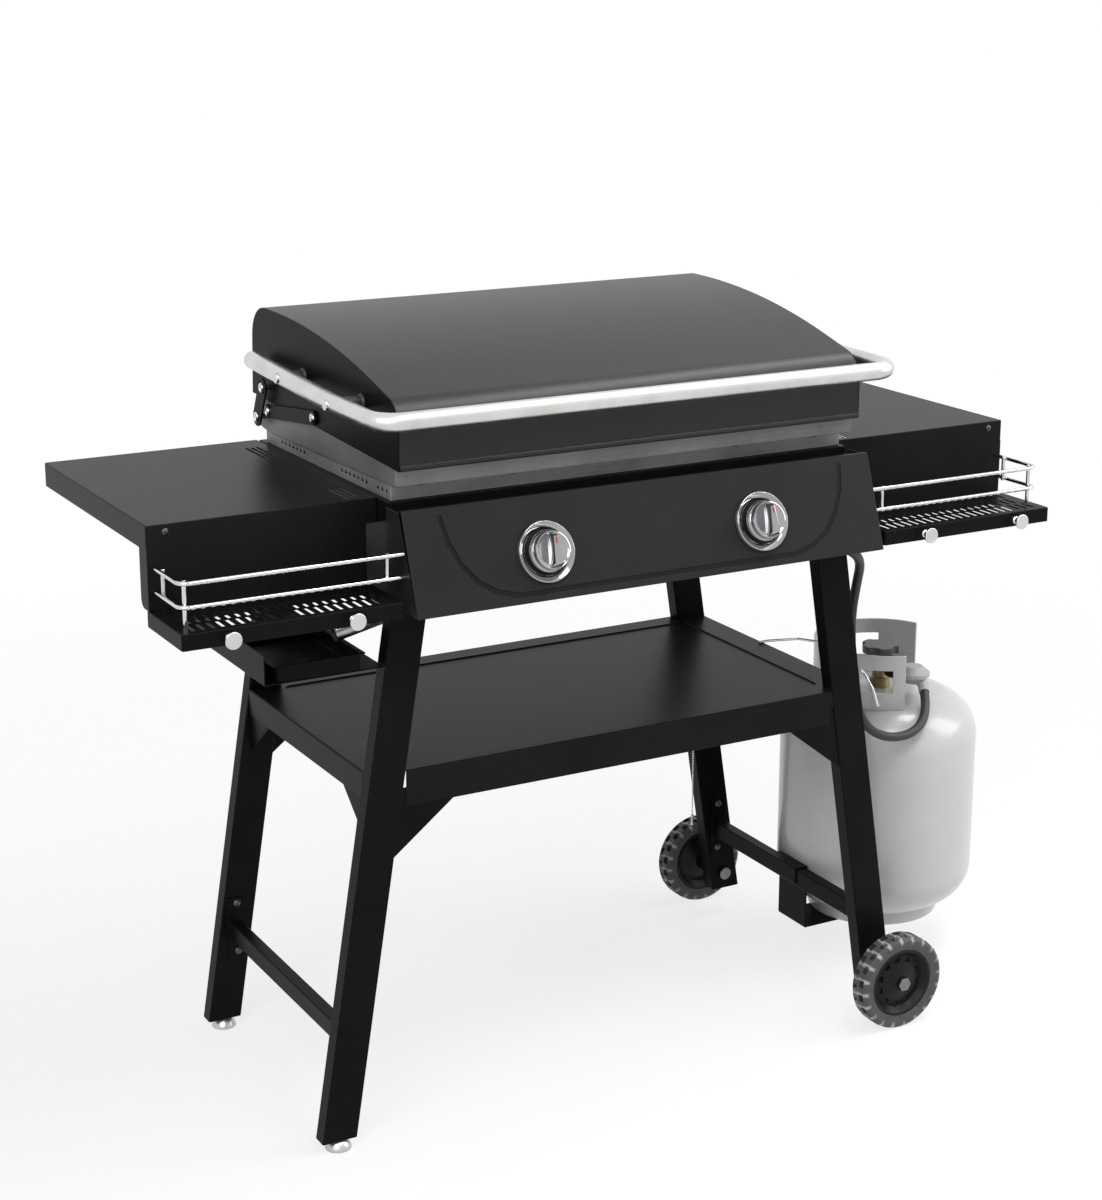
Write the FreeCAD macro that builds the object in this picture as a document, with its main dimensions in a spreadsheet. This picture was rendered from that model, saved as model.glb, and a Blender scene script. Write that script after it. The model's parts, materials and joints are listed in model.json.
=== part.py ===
# An outdoor gas griddle station on a splayed four-legged cart with two wheels.
# Millimetres, +Z up, front towards -Y, origin on the floor midway between the four legs.
import FreeCAD, Part
import math
import os
import re

V = FreeCAD.Vector
doc = FreeCAD.newDocument("GriddleStation")

# Driving dimensions, each under the alias of its cell in the sheet.
SIZES = {
    # Place of the frame's origin, under the middle of the whole, in the cart's own frame
    "origin_across": 39.3,
    "origin_deep": -15,
    # General stock
    "sheet": 1.5,
    "running_gap": 0.1,
    "seat_gap": 0.5,
    # Legs
    "leg_width": 50,
    "leg_depth": 25,
    "leg_wall": 1.5,
    "leg_corner": 2,
    "leg_splay": 0.159,
    "leg_reach": 475.5,
    "leg_front": -222,
    "leg_rear": 222,
    "leg_top": 757,
    "mount_plate": 3,
    "foot_height": 15,
    "foot_radius": 18,
    "foot_stud": 4,
    "right_leg_bottom": 45,
    "plug_height": 30,
    "cap_height": 12,
    # Wheels
    "wheel_radius": 72,
    "tyre_width": 34,
    "tyre_inner": 52,
    "tread_groove": 6,
    "tread_blocks": 20,
    "hub_width": 30,
    "hub_boss": 15,
    "hub_windows": 11,
    "wheel_offset": 52,
    "axle_radius": 6,
    # Crossbars
    "bar_width": 19,
    "bar_bottom": 141,
    "bar_top": 168,
    "end_plate": 3,
    "end_plate_width": 28,
    "end_plate_bottom": 108,
    "end_plate_top": 207,
    # Lower shelf
    "shelf_top": 524.5,
    "shelf_half": 393,
    "shelf_front": -221,
    "shelf_rear": 222,
    "shelf_sheet": 1.2,
    "shelf_flange": 50,
    "shelf_side_flange": 38,
    "shelf_dish": 2,
    "shelf_border": 35,
    "gusset_width": 75,
    "gusset_drop": 70,
    "gusset_side": 68,
    "gusset_side_drop": 57,
    # Firebox
    "box_half": 355.5,
    "box_front": -215,
    "box_rear": 222,
    "box_bottom": 760,
    "box_top": 886,
    "box_lip": 12,
    "box_foot": 36,
    # Rail between the firebox and the panel
    "rail_top": 875,
    "rail_drop": 22,
    "rail_slot": 122,
    "rail_slot_width": 22,
    "rail_pitch": 157,
    # Control panel
    "panel_half": 361,
    "panel_top": 884,
    "panel_top_front": -259,
    "panel_bottom": 754,
    "panel_bottom_front": -305.6,
    "groove_width": 7,
    "groove_depth": 0.9,
    "knob_apart": 334,
    "knob_down": 75,
    # Knobs and valves
    "bezel_radius": 42,
    "bezel_inner": 31,
    "bezel_rise": 6,
    "knob_radius": 28,
    "knob_height": 17,
    "grip_top": 10,
    "grip_foot": 19,
    "grip_rise": 12,
    "knob_gap": 6,
    "stem_radius": 4,
    "stem_push": 3,
    "valve_depth": 38,
    "valve_width": 26,
    "manifold_radius": 9.5,
    "manifold_height": 777,
    # Burners
    "burner_radius": 15,
    "burner_height": 812,
    "burner_rear": 150,
    "shield_lap": 10.5,
    "shield_end_lap": 12,
    "shield_rim": 12,
    # Griddle plate
    "plate_front": -229,
    "plate_rear": 229,
    "plate_wall": 3,
    "plate_floor": 908,
    "plate_skin": 4,
    "wall_front_top": 931,
    "wall_rear_top": 951,
    "skirt_fit": 0.4,
    "skirt_front": -207,
    "drain_radius": 12,
    # Lid
    "lid_inset": 0.1,
    "lid_fit": 0.3,
    "lid_front": -243,
    "lid_rear": 236,
    "lid_rise": 149,
    "lid_shoulder_rise": 83,
    "lid_crest": 1.444,
    "lid_gap": 0.6,
    "lid_front_radius": 40,
    "lid_roof_radius": 1300,
    "lid_rear_radius": 46,
    "lip_radius": 4,
    # Handle
    "handle_radius": 12.5,
    "handle_front": -272,
    "handle_gap": 38.6,
    "handle_end_gap": 19.6,
    "handle_knee": -131,
    "handle_end": 187,
    "handle_slope": 8,
    "handle_height": 1001,
    "handle_bend": 35,
    "standoff_radius": 8,
    "screw_radius": 4,
    # Lid links
    "link_thick": 3,
    "link_layer": 0.6,
    "rear_link_step": 7.1,
    "link_half": 10,
    "rear_link_half": 13.5,
    "pin_radius": 4,
    "pin_head": 7,
    # Side tables
    "table_half": 667.6,
    "table_front": -178.4,
    "table_rear": 228.6,
    "table_top": 885.2,
    "table_rim": 32.6,
    "table_sheet": 1.2,
    "apron_bottom": 776,
    "bracket_width": 28,
    # Caddies
    "caddy_front": -292,
    "caddy_inner": 372,
    "caddy_drop": 21,
    "caddy_tuck": 9,
    "slot_width": 5,
    "slot_pitch": 13,
    # Wire rails
    "wire_radius": 2.75,
    "wire_low": 802,
    "wire_high": 832,
    "wire_side": 660,
    "wire_front": -270,
    "wire_bend": 14,
    # Tool hooks
    "hook_radius": 11,
    "hook_reach": 15,
    "hook_height": 760,
    # Drip tray and its guide
    "guide_left": 536,
    "guide_bottom": 671,
    "guide_height": 40,
    "tray_left": 525,
    "tray_right": 395,
    "tray_height": 22,
    "tray_front": -222,
    "tray_depth": 200,
    # Cylinder hanger
    "saddle_front": -42,
    "saddle_rear": 32,
    "ledge_bottom": 66,
    "ledge_sheet": 2.5,
    "ledge_end": 507,
    # Gas cylinder
    "tank_x": 592,
    "tank_y": -5,
    "tank_radius": 154,
    "tank_bottom": 82,
    "tank_top": 434,
    "tank_wall": 3,
    "ring_radius": 103,
    "ring_wall": 3,
    "collar_radius": 105,
    "collar_top": 513.5,
    "valve_height": 470,
    "wheel_height": 492,
    # Gas hose and hold-down wire
    "hose_radius": 7,
    "tie_radius": 2,
    "chain_radius": 1.6,
    "chain_across": 370,
    "chain_deep": 190,
    "clip_bottom": 172,
    "clip_length": 19,
}

# Pivots of the lid linkage, as depth and height
G1 = (175.9, 936.0)
L1 = (17.4, 954.4)
G2 = (200.0, 924.5)
L2 = (177.9, 969.9)
SLOT_ANGLE = 0.38
SLOT_LOW = -5.6
SLOT_HIGH = 6.5
STANDOFFS = (-137, 50)

# Route of the gas hose, from the manifold to the regulator
HOSE = [
    (297, -239.5, 767),
    (325, -240, 750),
    (362.5, -235, 734),
    (390.5, -214, 710),
    (402, -190, 672),
    (401, -181, 624),
    (404, -179, 572),
    (410, -178, 520),
    (424, -174, 470),
    (452, -166, 430),
    (496, -164, 409),
    (544, -160, 409),
    (583, -139, 428),
    (602, -106, 449),
]

# Route of the hold-down wire, from the shelf to the collar
WIRE = [
    (382, 28, 526.5),
    (400, 28, 526.5),
    (452, 24, 523),
    (488, -4, 518.5),
    (507, -42, 503),
    (516, -64, 482),
    (519, -84, 462),
    (521, -96, 436),
]

sheet = doc.addObject("Spreadsheet::Sheet", "Sizes")
for row, (alias, value) in enumerate(SIZES.items(), start=1):
    sheet.set(f"A{row}", alias)
    sheet.set(f"B{row}", str(value))
    sheet.setAlias(f"B{row}", alias)
doc.recompute()


class Values:
    """The sheet's values by name."""

    def __getattr__(self, alias):
        return float(sheet.get(alias))


S = Values()
NODES = []


def tie(text):
    """Turns a formula of aliases into an expression on the sheet."""
    return re.sub(r"[a-z_]+", lambda m: f"Sizes.{m[0]}" if m[0] in SIZES else m[0], text)


def bind(item, **formulas):
    """Binds properties of an object to formulas on the sheet."""
    for name, text in formulas.items():
        item.setExpression(name, tie(text))
    return item


def keep(item, node):
    """Marks an object as a finished piece under its node name."""
    item.Label = node
    NODES.append(item)
    return item


def place(item, x=0, y=0, z=0, axis=V(0, 0, 1), angle=0):
    """Moves and turns an object."""
    item.Placement = FreeCAD.Placement(V(x, y, z), FreeCAD.Rotation(axis, angle))
    return item


def aim(item, point, direction):
    """Places an object so that its own Z axis points along a direction."""
    item.Placement = FreeCAD.Placement(V(*point), FreeCAD.Rotation(V(0, 0, 1), V(*direction)))
    return item


# Outlines in a sketch plane


def rounded(points, radii):
    """A closed outline through points, with each corner rounded by its radius."""
    count = len(points)
    if not isinstance(radii, (list, tuple)):
        radii = [radii] * count
    corners = [V(a, b, 0) for a, b in points]
    ends = []
    for i, radius in enumerate(radii):
        here = corners[i]
        before = (corners[i - 1] - here).normalize()
        after = (corners[(i + 1) % count] - here).normalize()
        half = before.getAngle(after) / 2
        reach = radius / math.tan(half) if radius else 0
        ends.append((here, before, after, half, reach, radius))
    curves = []
    for i, (here, before, after, half, reach, radius) in enumerate(ends):
        if radius:
            middle = here + (before + after).normalize() * (radius / math.sin(half) - radius)
            arc = Part.Arc(here + before * reach, middle, here + after * reach)
            curves.append(arc)
        following = ends[(i + 1) % count]
        start = here + after * reach
        stop = following[0] + following[1] * following[4]
        if start.distanceToPoint(stop) > 1e-6:
            curves.append(Part.LineSegment(start, stop))
    return curves


def box(left, low, right, high, radius=0):
    """A rectangle with rounded corners."""
    return rounded([(left, low), (right, low), (right, high), (left, high)], radius)


def disc(across, up, radius):
    """A circle."""
    return [Part.Circle(V(across, up, 0), V(0, 0, 1), radius)]


def inset(points, distance):
    """The corners of a counter-clockwise outline moved inwards by a distance."""
    moved = []
    for i, (x, y) in enumerate(points):
        here = V(x, y, 0)
        before = (here - V(*points[i - 1], 0)).normalize()
        after = (V(*points[(i + 1) % len(points)], 0) - here).normalize()
        inward = V(-before.y, before.x, 0) + V(-after.y, after.x, 0)
        reach = 2 * distance / inward.Length
        step = inward.normalize() * reach
        moved.append((x + step.x, y + step.y))
    return moved


def folded(points, thickness):
    """A strip of sheet along open points, with its thickness to their left."""
    spots = [V(x, y, 0) for x, y in points]
    other = []
    for i, spot in enumerate(spots):
        before = (spot - spots[i - 1]).normalize() if i else None
        after = (spots[i + 1] - spot).normalize() if i < len(spots) - 1 else None
        before = before or after
        after = after or before
        left = V(-before.y, before.x, 0) + V(-after.y, after.x, 0)
        reach = 2 * thickness / left.Length
        other.append(spot + left.normalize() * reach)
    return rounded(points + [(p.x, p.y) for p in reversed(other)], 0)


# Part Design features


def start(name):
    """An empty body."""
    return doc.addObject("PartDesign::Body", name)


def draw(body, role, curves, offset):
    """A sketch on one of the body's own planes, or tilted by an offset placement."""
    sketch = body.newObject("Sketcher::SketchObject", f"{body.Name}_sketch")
    plane = next(p for p in body.Origin.OriginFeatures if p.Role == role)
    sketch.AttachmentSupport = (plane, [""])
    sketch.MapMode = "FlatFace"
    if not isinstance(offset, FreeCAD.Placement):
        height = -offset if role == "XZ_Plane" else offset
        offset = FreeCAD.Placement(V(0, 0, height), FreeCAD.Rotation())
    sketch.AttachmentOffset = offset
    sketch.addGeometry(curves, False)
    return sketch


def pad(body, role, curves, offset, length, lean=None):
    """Adds material that grows along the plane's world axis from an offset."""
    feature = body.newObject("PartDesign::Pad", f"{body.Name}_pad")
    feature.Profile = draw(body, role, curves, offset)
    feature.Reversed = role == "XZ_Plane"
    if lean:
        feature.UseCustomVector = True
        feature.Direction = V(lean, 0, 1)
        feature.AlongSketchNormal = True
    return bind(feature, Length=length)


def cut(body, role, curves, offset, length):
    """Removes material along the plane's world axis from an offset."""
    feature = body.newObject("PartDesign::Pocket", f"{body.Name}_pocket")
    feature.Profile = draw(body, role, curves, offset)
    feature.Reversed = role != "XZ_Plane"
    return bind(feature, Length=length)


def turn(body, curves):
    """Adds a solid turned about the body's own Z axis."""
    feature = body.newObject("PartDesign::Revolution", f"{body.Name}_turned")
    sketch = draw(body, "XZ_Plane", curves, 0)
    feature.Profile = sketch
    feature.ReferenceAxis = (sketch, ["V_Axis"])
    feature.Angle = 360
    return feature


# Part primitives and booleans


def rod(name, point, direction, radius, length):
    """A cylinder from a point along a direction."""
    item = bind(doc.addObject("Part::Cylinder", name), Radius=radius, Height=length)
    return aim(item, point, direction)


def join(name, items):
    """One solid from pieces that meet."""
    fuse = doc.addObject("Part::MultiFuse", name)
    fuse.Shapes = items
    return fuse


def group(name, items):
    """Separate solids in one piece's file."""
    compound = doc.addObject("Part::Compound", name)
    compound.Links = items
    return compound


def subtract(name, base, tool):
    """One shape less another."""
    result = doc.addObject("Part::Cut", name)
    result.Base = base
    result.Tool = tool
    return result


def mirrored(name, source):
    """The same piece on the other side of the centre plane."""
    copy = doc.addObject("Part::Mirroring", name)
    copy.Source = source
    copy.Normal = V(1, 0, 0)
    return copy


def bends(points, radius_of):
    """Straight runs joined by tangent arcs, with the radius that a function gives."""
    spots = [V(*p) for p in points]
    edges = []
    last = spots[0]
    for i in range(1, len(spots) - 1):
        before = spots[i - 1] - spots[i]
        after = spots[i + 1] - spots[i]
        half = before.getAngle(after) / 2
        radius = radius_of(before.Length, after.Length, half)
        reach = radius / math.tan(half)
        inward = (before.normalize() + after.normalize()).normalize()
        first = spots[i] + before * reach
        second = spots[i] + after * reach
        middle = spots[i] + inward * (radius / math.sin(half) - radius)
        edges.append(Part.LineSegment(last, first).toShape())
        edges.append(Part.Arc(first, middle, second).toShape())
        last = second
    edges.append(Part.LineSegment(last, spots[-1]).toShape())
    return Part.Wire(edges)


def bent(name, points, bend, radius):
    """A round rod swept along points with corners of one bend radius."""
    spine = doc.addObject("Part::Feature", f"{name}_spine")
    spine.Shape = bends(points, lambda before, after, half: bend)
    ring = bind(doc.addObject("Part::Circle", f"{name}_ring"), Radius=radius)
    aim(ring, points[0], V(*points[1]) - V(*points[0]))
    sweep = doc.addObject("Part::Sweep", name)
    sweep.Sections = [ring]
    sweep.Spine = (spine, [f"Edge{i + 1}" for i in range(len(spine.Shape.Edges))])
    sweep.Solid = True
    return sweep


def dome_bolt(name, point, direction, head, rise, shank, length):
    """A domed head on a face, with a shank that runs back from it."""
    body = start(name)
    sphere = (head**2 + rise**2) / (2 * rise)
    half = math.asin(head / sphere) / 2
    middle = V(sphere * math.sin(half), rise - sphere + sphere * math.cos(half), 0)
    curves = [
        Part.LineSegment(V(0, -length, 0), V(shank, -length, 0)),
        Part.LineSegment(V(shank, -length, 0), V(shank, 0, 0)),
        Part.LineSegment(V(shank, 0, 0), V(head, 0, 0)),
        Part.Arc(V(head, 0, 0), middle, V(0, rise, 0)),
        Part.LineSegment(V(0, rise, 0), V(0, -length, 0)),
    ]
    turn(body, curves)
    return aim(body, point, direction)


# Legs, feet and wheels


def leg_outer(height):
    """Distance of a leg's outer face from the centre plane at a height."""
    return S.leg_reach - S.leg_splay * height


def leg_span():
    """Width of a leaning leg measured level."""
    return S.leg_width * math.hypot(1, S.leg_splay)


def leg_middle(height):
    """Distance of a leg's centre line from the centre plane at a height."""
    return leg_outer(height) - leg_span() / 2


def leg_section(side, height, wall):
    """The level section of a leg about its centre line, drawn in by a wall."""
    half = leg_span() / 2 - wall
    depth = S.leg_depth / 2 - wall
    corner = max(S.leg_corner - wall, 0.5)
    across = side * leg_middle(height)
    return [across - half, -depth, across + half, depth, corner]


def leg_centre(end):
    """The depth of a leg's centre, at the front or the rear."""
    return (S.leg_front + S.leg_depth / 2) if end < 0 else (S.leg_rear - S.leg_depth / 2)


def bar_bolts():
    """Heights of the two bolts of each crossbar end."""
    return (S.end_plate_bottom + 14, S.end_plate_top - 9)


def leg(node, side, end):
    """One splayed leg of rectangular tube."""
    low = "foot_height" if side < 0 else "right_leg_bottom"
    bottom = getattr(S, low)
    body = start(node)
    tube = box(*leg_section(side, bottom, 0)) + box(*leg_section(side, bottom, S.leg_wall))
    pad(body, "XY_Plane", tube, bottom, f"leg_top - {low}", lean=-side * S.leg_splay)
    inner_face = S.leg_depth / 2 - S.leg_wall if end < 0 else -S.leg_depth / 2
    bolts = []
    for height in bar_bolts():
        bolts += disc(side * leg_middle(S.bar_top), height, 3)
    cut(body, "XZ_Plane", bolts, inner_face, "leg_wall")
    if side > 0:
        axle = disc(leg_middle(S.wheel_radius), S.wheel_radius, S.axle_radius)
        cut(body, "XZ_Plane", axle, -S.leg_depth / 2, "leg_depth")
    place(body, y=leg_centre(end))
    keep(body, node)


def leg_plugs():
    """Plugs in the leg ends: threaded for the feet at the left, plain caps at the right."""
    items = []
    for side in (-1, 1):
        low, tall = ("foot_height", "plug_height") if side < 0 else ("right_leg_bottom", "cap_height")
        for end in (-1, 1):
            body = start("plug")
            outline = box(*leg_section(side, getattr(S, low), S.leg_wall))
            if side < 0:
                outline += disc(side * foot_middle(), 0, S.foot_stud + S.running_gap / 2)
            pad(body, "XY_Plane", outline, getattr(S, low), tall, lean=-side * S.leg_splay)
            if side < 0:
                straight_bore(body, side)
            items.append(place(body, y=leg_centre(end)))
    return items


def foot_middle():
    """Distance of a levelling foot's axis from the centre plane."""
    return leg_middle(S.foot_height + S.plug_height / 2)


def straight_bore(body, side):
    """An upright bore for the foot's stud through a leaning plug."""
    bore = disc(side * foot_middle(), 0, S.foot_stud + S.running_gap / 2)
    cut(body, "XY_Plane", bore, S.foot_height, "plug_height")


def foot(node, end):
    """A domed levelling foot on a threaded stud."""
    body = start(node)
    edge = S.foot_radius
    tall = S.foot_height
    curves = [
        Part.LineSegment(V(0, 0, 0), V(edge, 0, 0)),
        Part.LineSegment(V(edge, 0, 0), V(edge, 2, 0)),
        Part.Arc(V(edge, 2, 0), V(edge * 0.74, tall * 0.7, 0), V(edge * 0.42, tall, 0)),
        Part.LineSegment(V(edge * 0.42, tall, 0), V(S.foot_stud, tall, 0)),
        Part.LineSegment(V(S.foot_stud, tall, 0), V(S.foot_stud, tall + S.plug_height - 2, 0)),
        Part.LineSegment(V(S.foot_stud, tall + S.plug_height - 2, 0), V(0, tall + S.plug_height - 2, 0)),
        Part.LineSegment(V(0, tall + S.plug_height - 2, 0), V(0, 0, 0)),
    ]
    turn(body, curves)
    keep(place(body, x=-foot_middle(), y=leg_centre(end)), node)


def leg_mounts():
    """Plates on the leg tops that bolt to the firebox."""
    items = []
    for side in (-1, 1):
        for end in (-1, 1):
            body = start("mount")
            far = S.box_front if end < 0 else S.box_rear
            near = leg_centre(end) - end * 24
            low, high = min(far, near), max(far, near)
            outer = leg_outer(S.leg_top) - 1
            left, right = sorted((side * outer, side * (outer - 58)))
            pad(body, "XY_Plane", box(left, low, right, high, 3), S.leg_top, "mount_plate")
            items.append(body)
    return items


def wheel_depth():
    """Depth of a wheel's middle plane behind the centre plane."""
    return S.leg_rear + S.wheel_offset


def tyre(node, end):
    """A solid tyre with two rows of block cavities in its tread."""
    body = start(node)
    half = S.tyre_width / 2
    outer = S.wheel_radius
    inner = S.tyre_inner
    curves = rounded(
        [
            (inner, -half + 3),
            (outer - 6, -half),
            (outer, -half + 5),
            (outer, half - 5),
            (outer - 6, half),
            (inner, half - 3),
        ],
        [1, 3, 3, 3, 3, 1],
    )
    turn(body, curves)
    pitch = 2 * math.pi / S.tread_blocks
    pockets = []
    for row in (-1, 1):
        for i in range(int(S.tread_blocks)):
            angle = (i + (0.5 if row > 0 else 0)) * pitch
            pockets.append((row, angle))
    block = S.tread_groove
    for row in (-1, 1):
        first = body.newObject("PartDesign::Pocket", f"{body.Name}_cavity")
        offset = FreeCAD.Placement(V(0, -(outer + 1), 0), FreeCAD.Rotation(V(1, 0, 0), 90))
        phase = math.degrees(pitch) / 2 if row > 0 else 0
        spin = FreeCAD.Placement(V(0, 0, 0), FreeCAD.Rotation(V(0, 0, 1), phase))
        mid = row * half * 0.44
        first.Profile = draw(body, "XY_Plane", box(-block, mid - 5, block, mid + 5, 0), spin * offset)
        first.Length = 9
        first.Reversed = False
        ring = body.newObject("PartDesign::PolarPattern", f"{body.Name}_cavities")
        ring.Originals = [first]
        ring.Axis = (next(p for p in body.Origin.OriginFeatures if p.Role == "Z_Axis"), [""])
        ring.Angle = 360
        ring.Occurrences = int(S.tread_blocks)
        body.Tip = ring
    place(body, wheel_x(), end * wheel_depth(), S.wheel_radius, V(1, 0, 0), 90)
    keep(body, node)


def wheel_x():
    """Distance of the axles from the centre plane."""
    return leg_middle(S.wheel_radius)


def hub(node, end):
    """A moulded hub with a rim, a dished web with a ring of square windows and a long boss."""
    body = start(node)
    half = S.hub_width / 2
    rim = S.tyre_inner
    bore = S.axle_radius + S.running_gap / 2
    boss = S.hub_boss
    back = S.wheel_offset - S.seat_gap * 2
    curves = rounded(
        [
            (bore, -back),
            (boss - 3, -back),
            (boss, -half),
            (rim - 12, -4),
            (rim - 4, -half + 1),
            (rim, -half + 1),
            (rim, half - 1),
            (rim - 4, half - 1),
            (rim - 12, 4),
            (boss, half - 2),
            (boss - 3, half),
            (bore, half),
        ],
        0,
    )
    turn(body, curves)
    window = 4.5
    reach = rim - 16
    first = body.newObject("PartDesign::Pocket", f"{body.Name}_window")
    first.Profile = draw(body, "XY_Plane", box(reach - window, -window, reach + window, window, 0), 8)
    first.Length = 5
    ring = body.newObject("PartDesign::PolarPattern", f"{body.Name}_windows")
    ring.Originals = [first]
    ring.Axis = (next(p for p in body.Origin.OriginFeatures if p.Role == "Z_Axis"), [""])
    ring.Angle = 360
    ring.Occurrences = int(S.hub_windows)
    body.Tip = ring
    place(body, wheel_x(), end * wheel_depth(), S.wheel_radius, V(1, 0, 0), -end * 90)
    keep(body, node)


def axle_bolts():
    """The wheels' axles, each with a washer at the leg and a nut outside."""
    items = []
    for end in (-1, 1):
        inner = end * (S.leg_rear - S.leg_depth)
        outer = end * (wheel_depth() + S.hub_width / 2)
        towards = (0, end, 0)
        spot = (wheel_x(), inner, S.wheel_radius)
        shank = rod("shank", spot, towards, "axle_radius", "leg_depth + wheel_offset + hub_width / 2 + 7")
        head = rod("head", spot, (0, -end, 0), "axle_radius * 1.7", "axle_radius")
        nut = doc.addObject("Part::Prism", "nut")
        nut.Polygon = 6
        bind(nut, Circumradius="axle_radius * 1.8", Height="axle_radius")
        aim(nut, (wheel_x(), outer + end * S.seat_gap, S.wheel_radius), towards)
        items.append(join("axle", [shank, head, nut]))
    keep(group("axle_bolts", items), "axle_bolts")


# Crossbars, shelf and firebox


def crossbar(node, side):
    """A lower crossbar of tube between end plates."""
    body = start(node)
    across = side * leg_middle((S.bar_top + S.bar_bottom) / 2)
    inner = S.leg_rear - S.leg_depth
    half = S.bar_width / 2
    tube = box(across - half, S.bar_bottom, across + half, S.bar_top, 2)
    tube += box(across - half + 1.5, S.bar_bottom + 1.5, across + half - 1.5, S.bar_top - 1.5, 0.5)
    pad(body, "XZ_Plane", tube, -inner + S.end_plate, "(leg_rear - leg_depth - end_plate) * 2")
    half = S.end_plate_width / 2
    for end in (-1, 1):
        plate = box(across - half, S.end_plate_bottom, across + half, S.end_plate_top, 3)
        for height in bar_bolts():
            plate += disc(side * leg_middle(S.bar_top), height, 3)
        pad(body, "XZ_Plane", plate, -inner if end < 0 else inner - S.end_plate, "end_plate")
    keep(body, node)


def cart_bolts():
    """Domed bolts at the crossbar plates, the mounts, the aprons and the hanger."""
    items = []
    inner = S.leg_rear - S.leg_depth - S.end_plate
    for side in (-1, 1):
        for end in (-1, 1):
            for height in bar_bolts():
                spot = (side * leg_middle(S.bar_top), end * inner, height)
                items.append(dome_bolt("bolt", spot, (0, -end, 0), 6, 3, 3, S.end_plate + S.leg_wall))
        spot = (side * (S.table_half - 25), S.table_front, S.table_top - 10)
        items.append(dome_bolt("screw", spot, (0, -1, 0), 5, 2.5, 2, S.table_sheet))
    keep(group("cart_bolts", items), "cart_bolts")


def lower_shelf():
    """The dished lower shelf with flanges and a notch round each leg."""
    body = start("lower_shelf")
    half = S.shelf_half
    notch = leg_middle(S.shelf_top) - leg_span() / 2 - S.seat_gap
    front = S.leg_front + S.leg_depth
    rear = S.leg_rear - S.leg_depth
    outline = [
        (-notch, S.shelf_front),
        (notch, S.shelf_front),
        (notch, front),
        (half, front),
        (half, rear),
        (notch, rear),
        (notch, S.shelf_rear),
        (-notch, S.shelf_rear),
        (-notch, rear),
        (-half, rear),
        (-half, front),
        (-notch, front),
    ]
    skin = S.shelf_sheet
    pad(body, "XY_Plane", rounded(outline, 0), S.shelf_top - skin, "shelf_sheet")
    inner = half - S.shelf_border - 12
    low, high = S.shelf_front + S.shelf_border, S.shelf_rear - S.shelf_border
    dish = box(-inner, low, inner, high, 14)
    pad(body, "XY_Plane", dish, S.shelf_top - skin - S.shelf_dish, "shelf_dish")
    floor = box(-inner + skin, low + skin, inner - skin, high - skin, 14 - skin)
    cut(body, "XY_Plane", floor, S.shelf_top - S.shelf_dish, "shelf_dish")
    for edge in (S.shelf_front, S.shelf_rear - skin):
        flange = box(-notch, edge, notch, edge + skin)
        pad(body, "XY_Plane", flange, S.shelf_top - S.shelf_flange, "shelf_flange - shelf_sheet")
    for edge in (-half, half - skin):
        flange = box(edge, front, edge + skin, rear)
        pad(body, "XY_Plane", flange, S.shelf_top - S.shelf_side_flange, "shelf_side_flange - shelf_sheet")
    keep(body, "lower_shelf")


def shelf_gussets():
    """Triangular braces between the shelf's flanges and the legs."""
    items = []
    skin = S.shelf_sheet
    low_edge = S.shelf_top - S.shelf_flange
    tuck = low_edge + 26
    for side in (-1, 1):
        for depth in (S.shelf_front + skin, S.shelf_rear - 3 * skin):
            body = start("gusset")
            outline = [
                (leg_outer(tuck) - leg_span() - S.gusset_width, tuck),
                (leg_outer(tuck) - leg_span() - S.gusset_width, low_edge),
                (leg_outer(low_edge - S.gusset_drop) - leg_span(), low_edge - S.gusset_drop),
                (leg_outer(tuck) - leg_span(), tuck),
            ]
            pad(body, "XZ_Plane", rounded([(side * a, b) for a, b in outline], 0), depth, "shelf_sheet * 2")
            items.append(body)
        for end in (-1, 1):
            body = start("side_gusset")
            edge = S.shelf_top - S.shelf_side_flange
            face = end * (S.leg_rear - S.leg_depth)
            outline = [
                (face, edge + 20),
                (face - end * S.gusset_side, edge + 20),
                (face - end * S.gusset_side, edge),
                (face, edge - S.gusset_side_drop),
            ]
            inner = S.shelf_half - 3 * skin if side > 0 else -S.shelf_half + skin
            pad(body, "YZ_Plane", rounded(outline, 0), inner, "shelf_sheet * 2")
            items.append(body)
    keep(group("shelf_gussets", items), "shelf_gussets")


def firebox():
    """The burner housing: four walls with a foot flange below and a seat lip above."""
    body = start("firebox")
    half, front, rear, skin = S.box_half, S.box_front, S.box_rear, S.sheet
    wall = box(-half, front, half, rear, 2)
    hollow = box(-half + skin, front + skin, half - skin, rear - skin, 0.5)
    pad(body, "XY_Plane", wall + hollow, S.box_bottom, "box_top - box_bottom")
    inside = box(-half + skin, front + skin, half - skin, rear - skin)
    foot_hole = box(-half + S.box_foot, front + S.box_foot, half - S.box_foot, rear - S.box_foot, 2)
    pad(body, "XY_Plane", inside + foot_hole, S.box_bottom, "sheet")
    lip = S.box_lip
    seat_hole = box(-half + lip, front + lip, half - lip, rear - lip, 2)
    pad(body, "XY_Plane", inside + seat_hole, S.box_top - skin, "sheet")
    holes = []
    for side in (-1, 1):
        holes += disc(side * S.knob_apart / 2, S.burner_height, S.burner_radius)
    cut(body, "XZ_Plane", holes, front, "sheet")
    cut(body, "XY_Plane", disc(*drain_spot(), S.drain_radius), S.box_bottom - 1, "sheet + 2")
    keep(body, "firebox")


def panel_slope():
    """Unit vectors down the panel's face and out of it, in the depth and height plane."""
    down = V(S.panel_bottom_front - S.panel_top_front, S.panel_bottom - S.panel_top, 0).normalize()
    return down, V(down.y, -down.x, 0)


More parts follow.
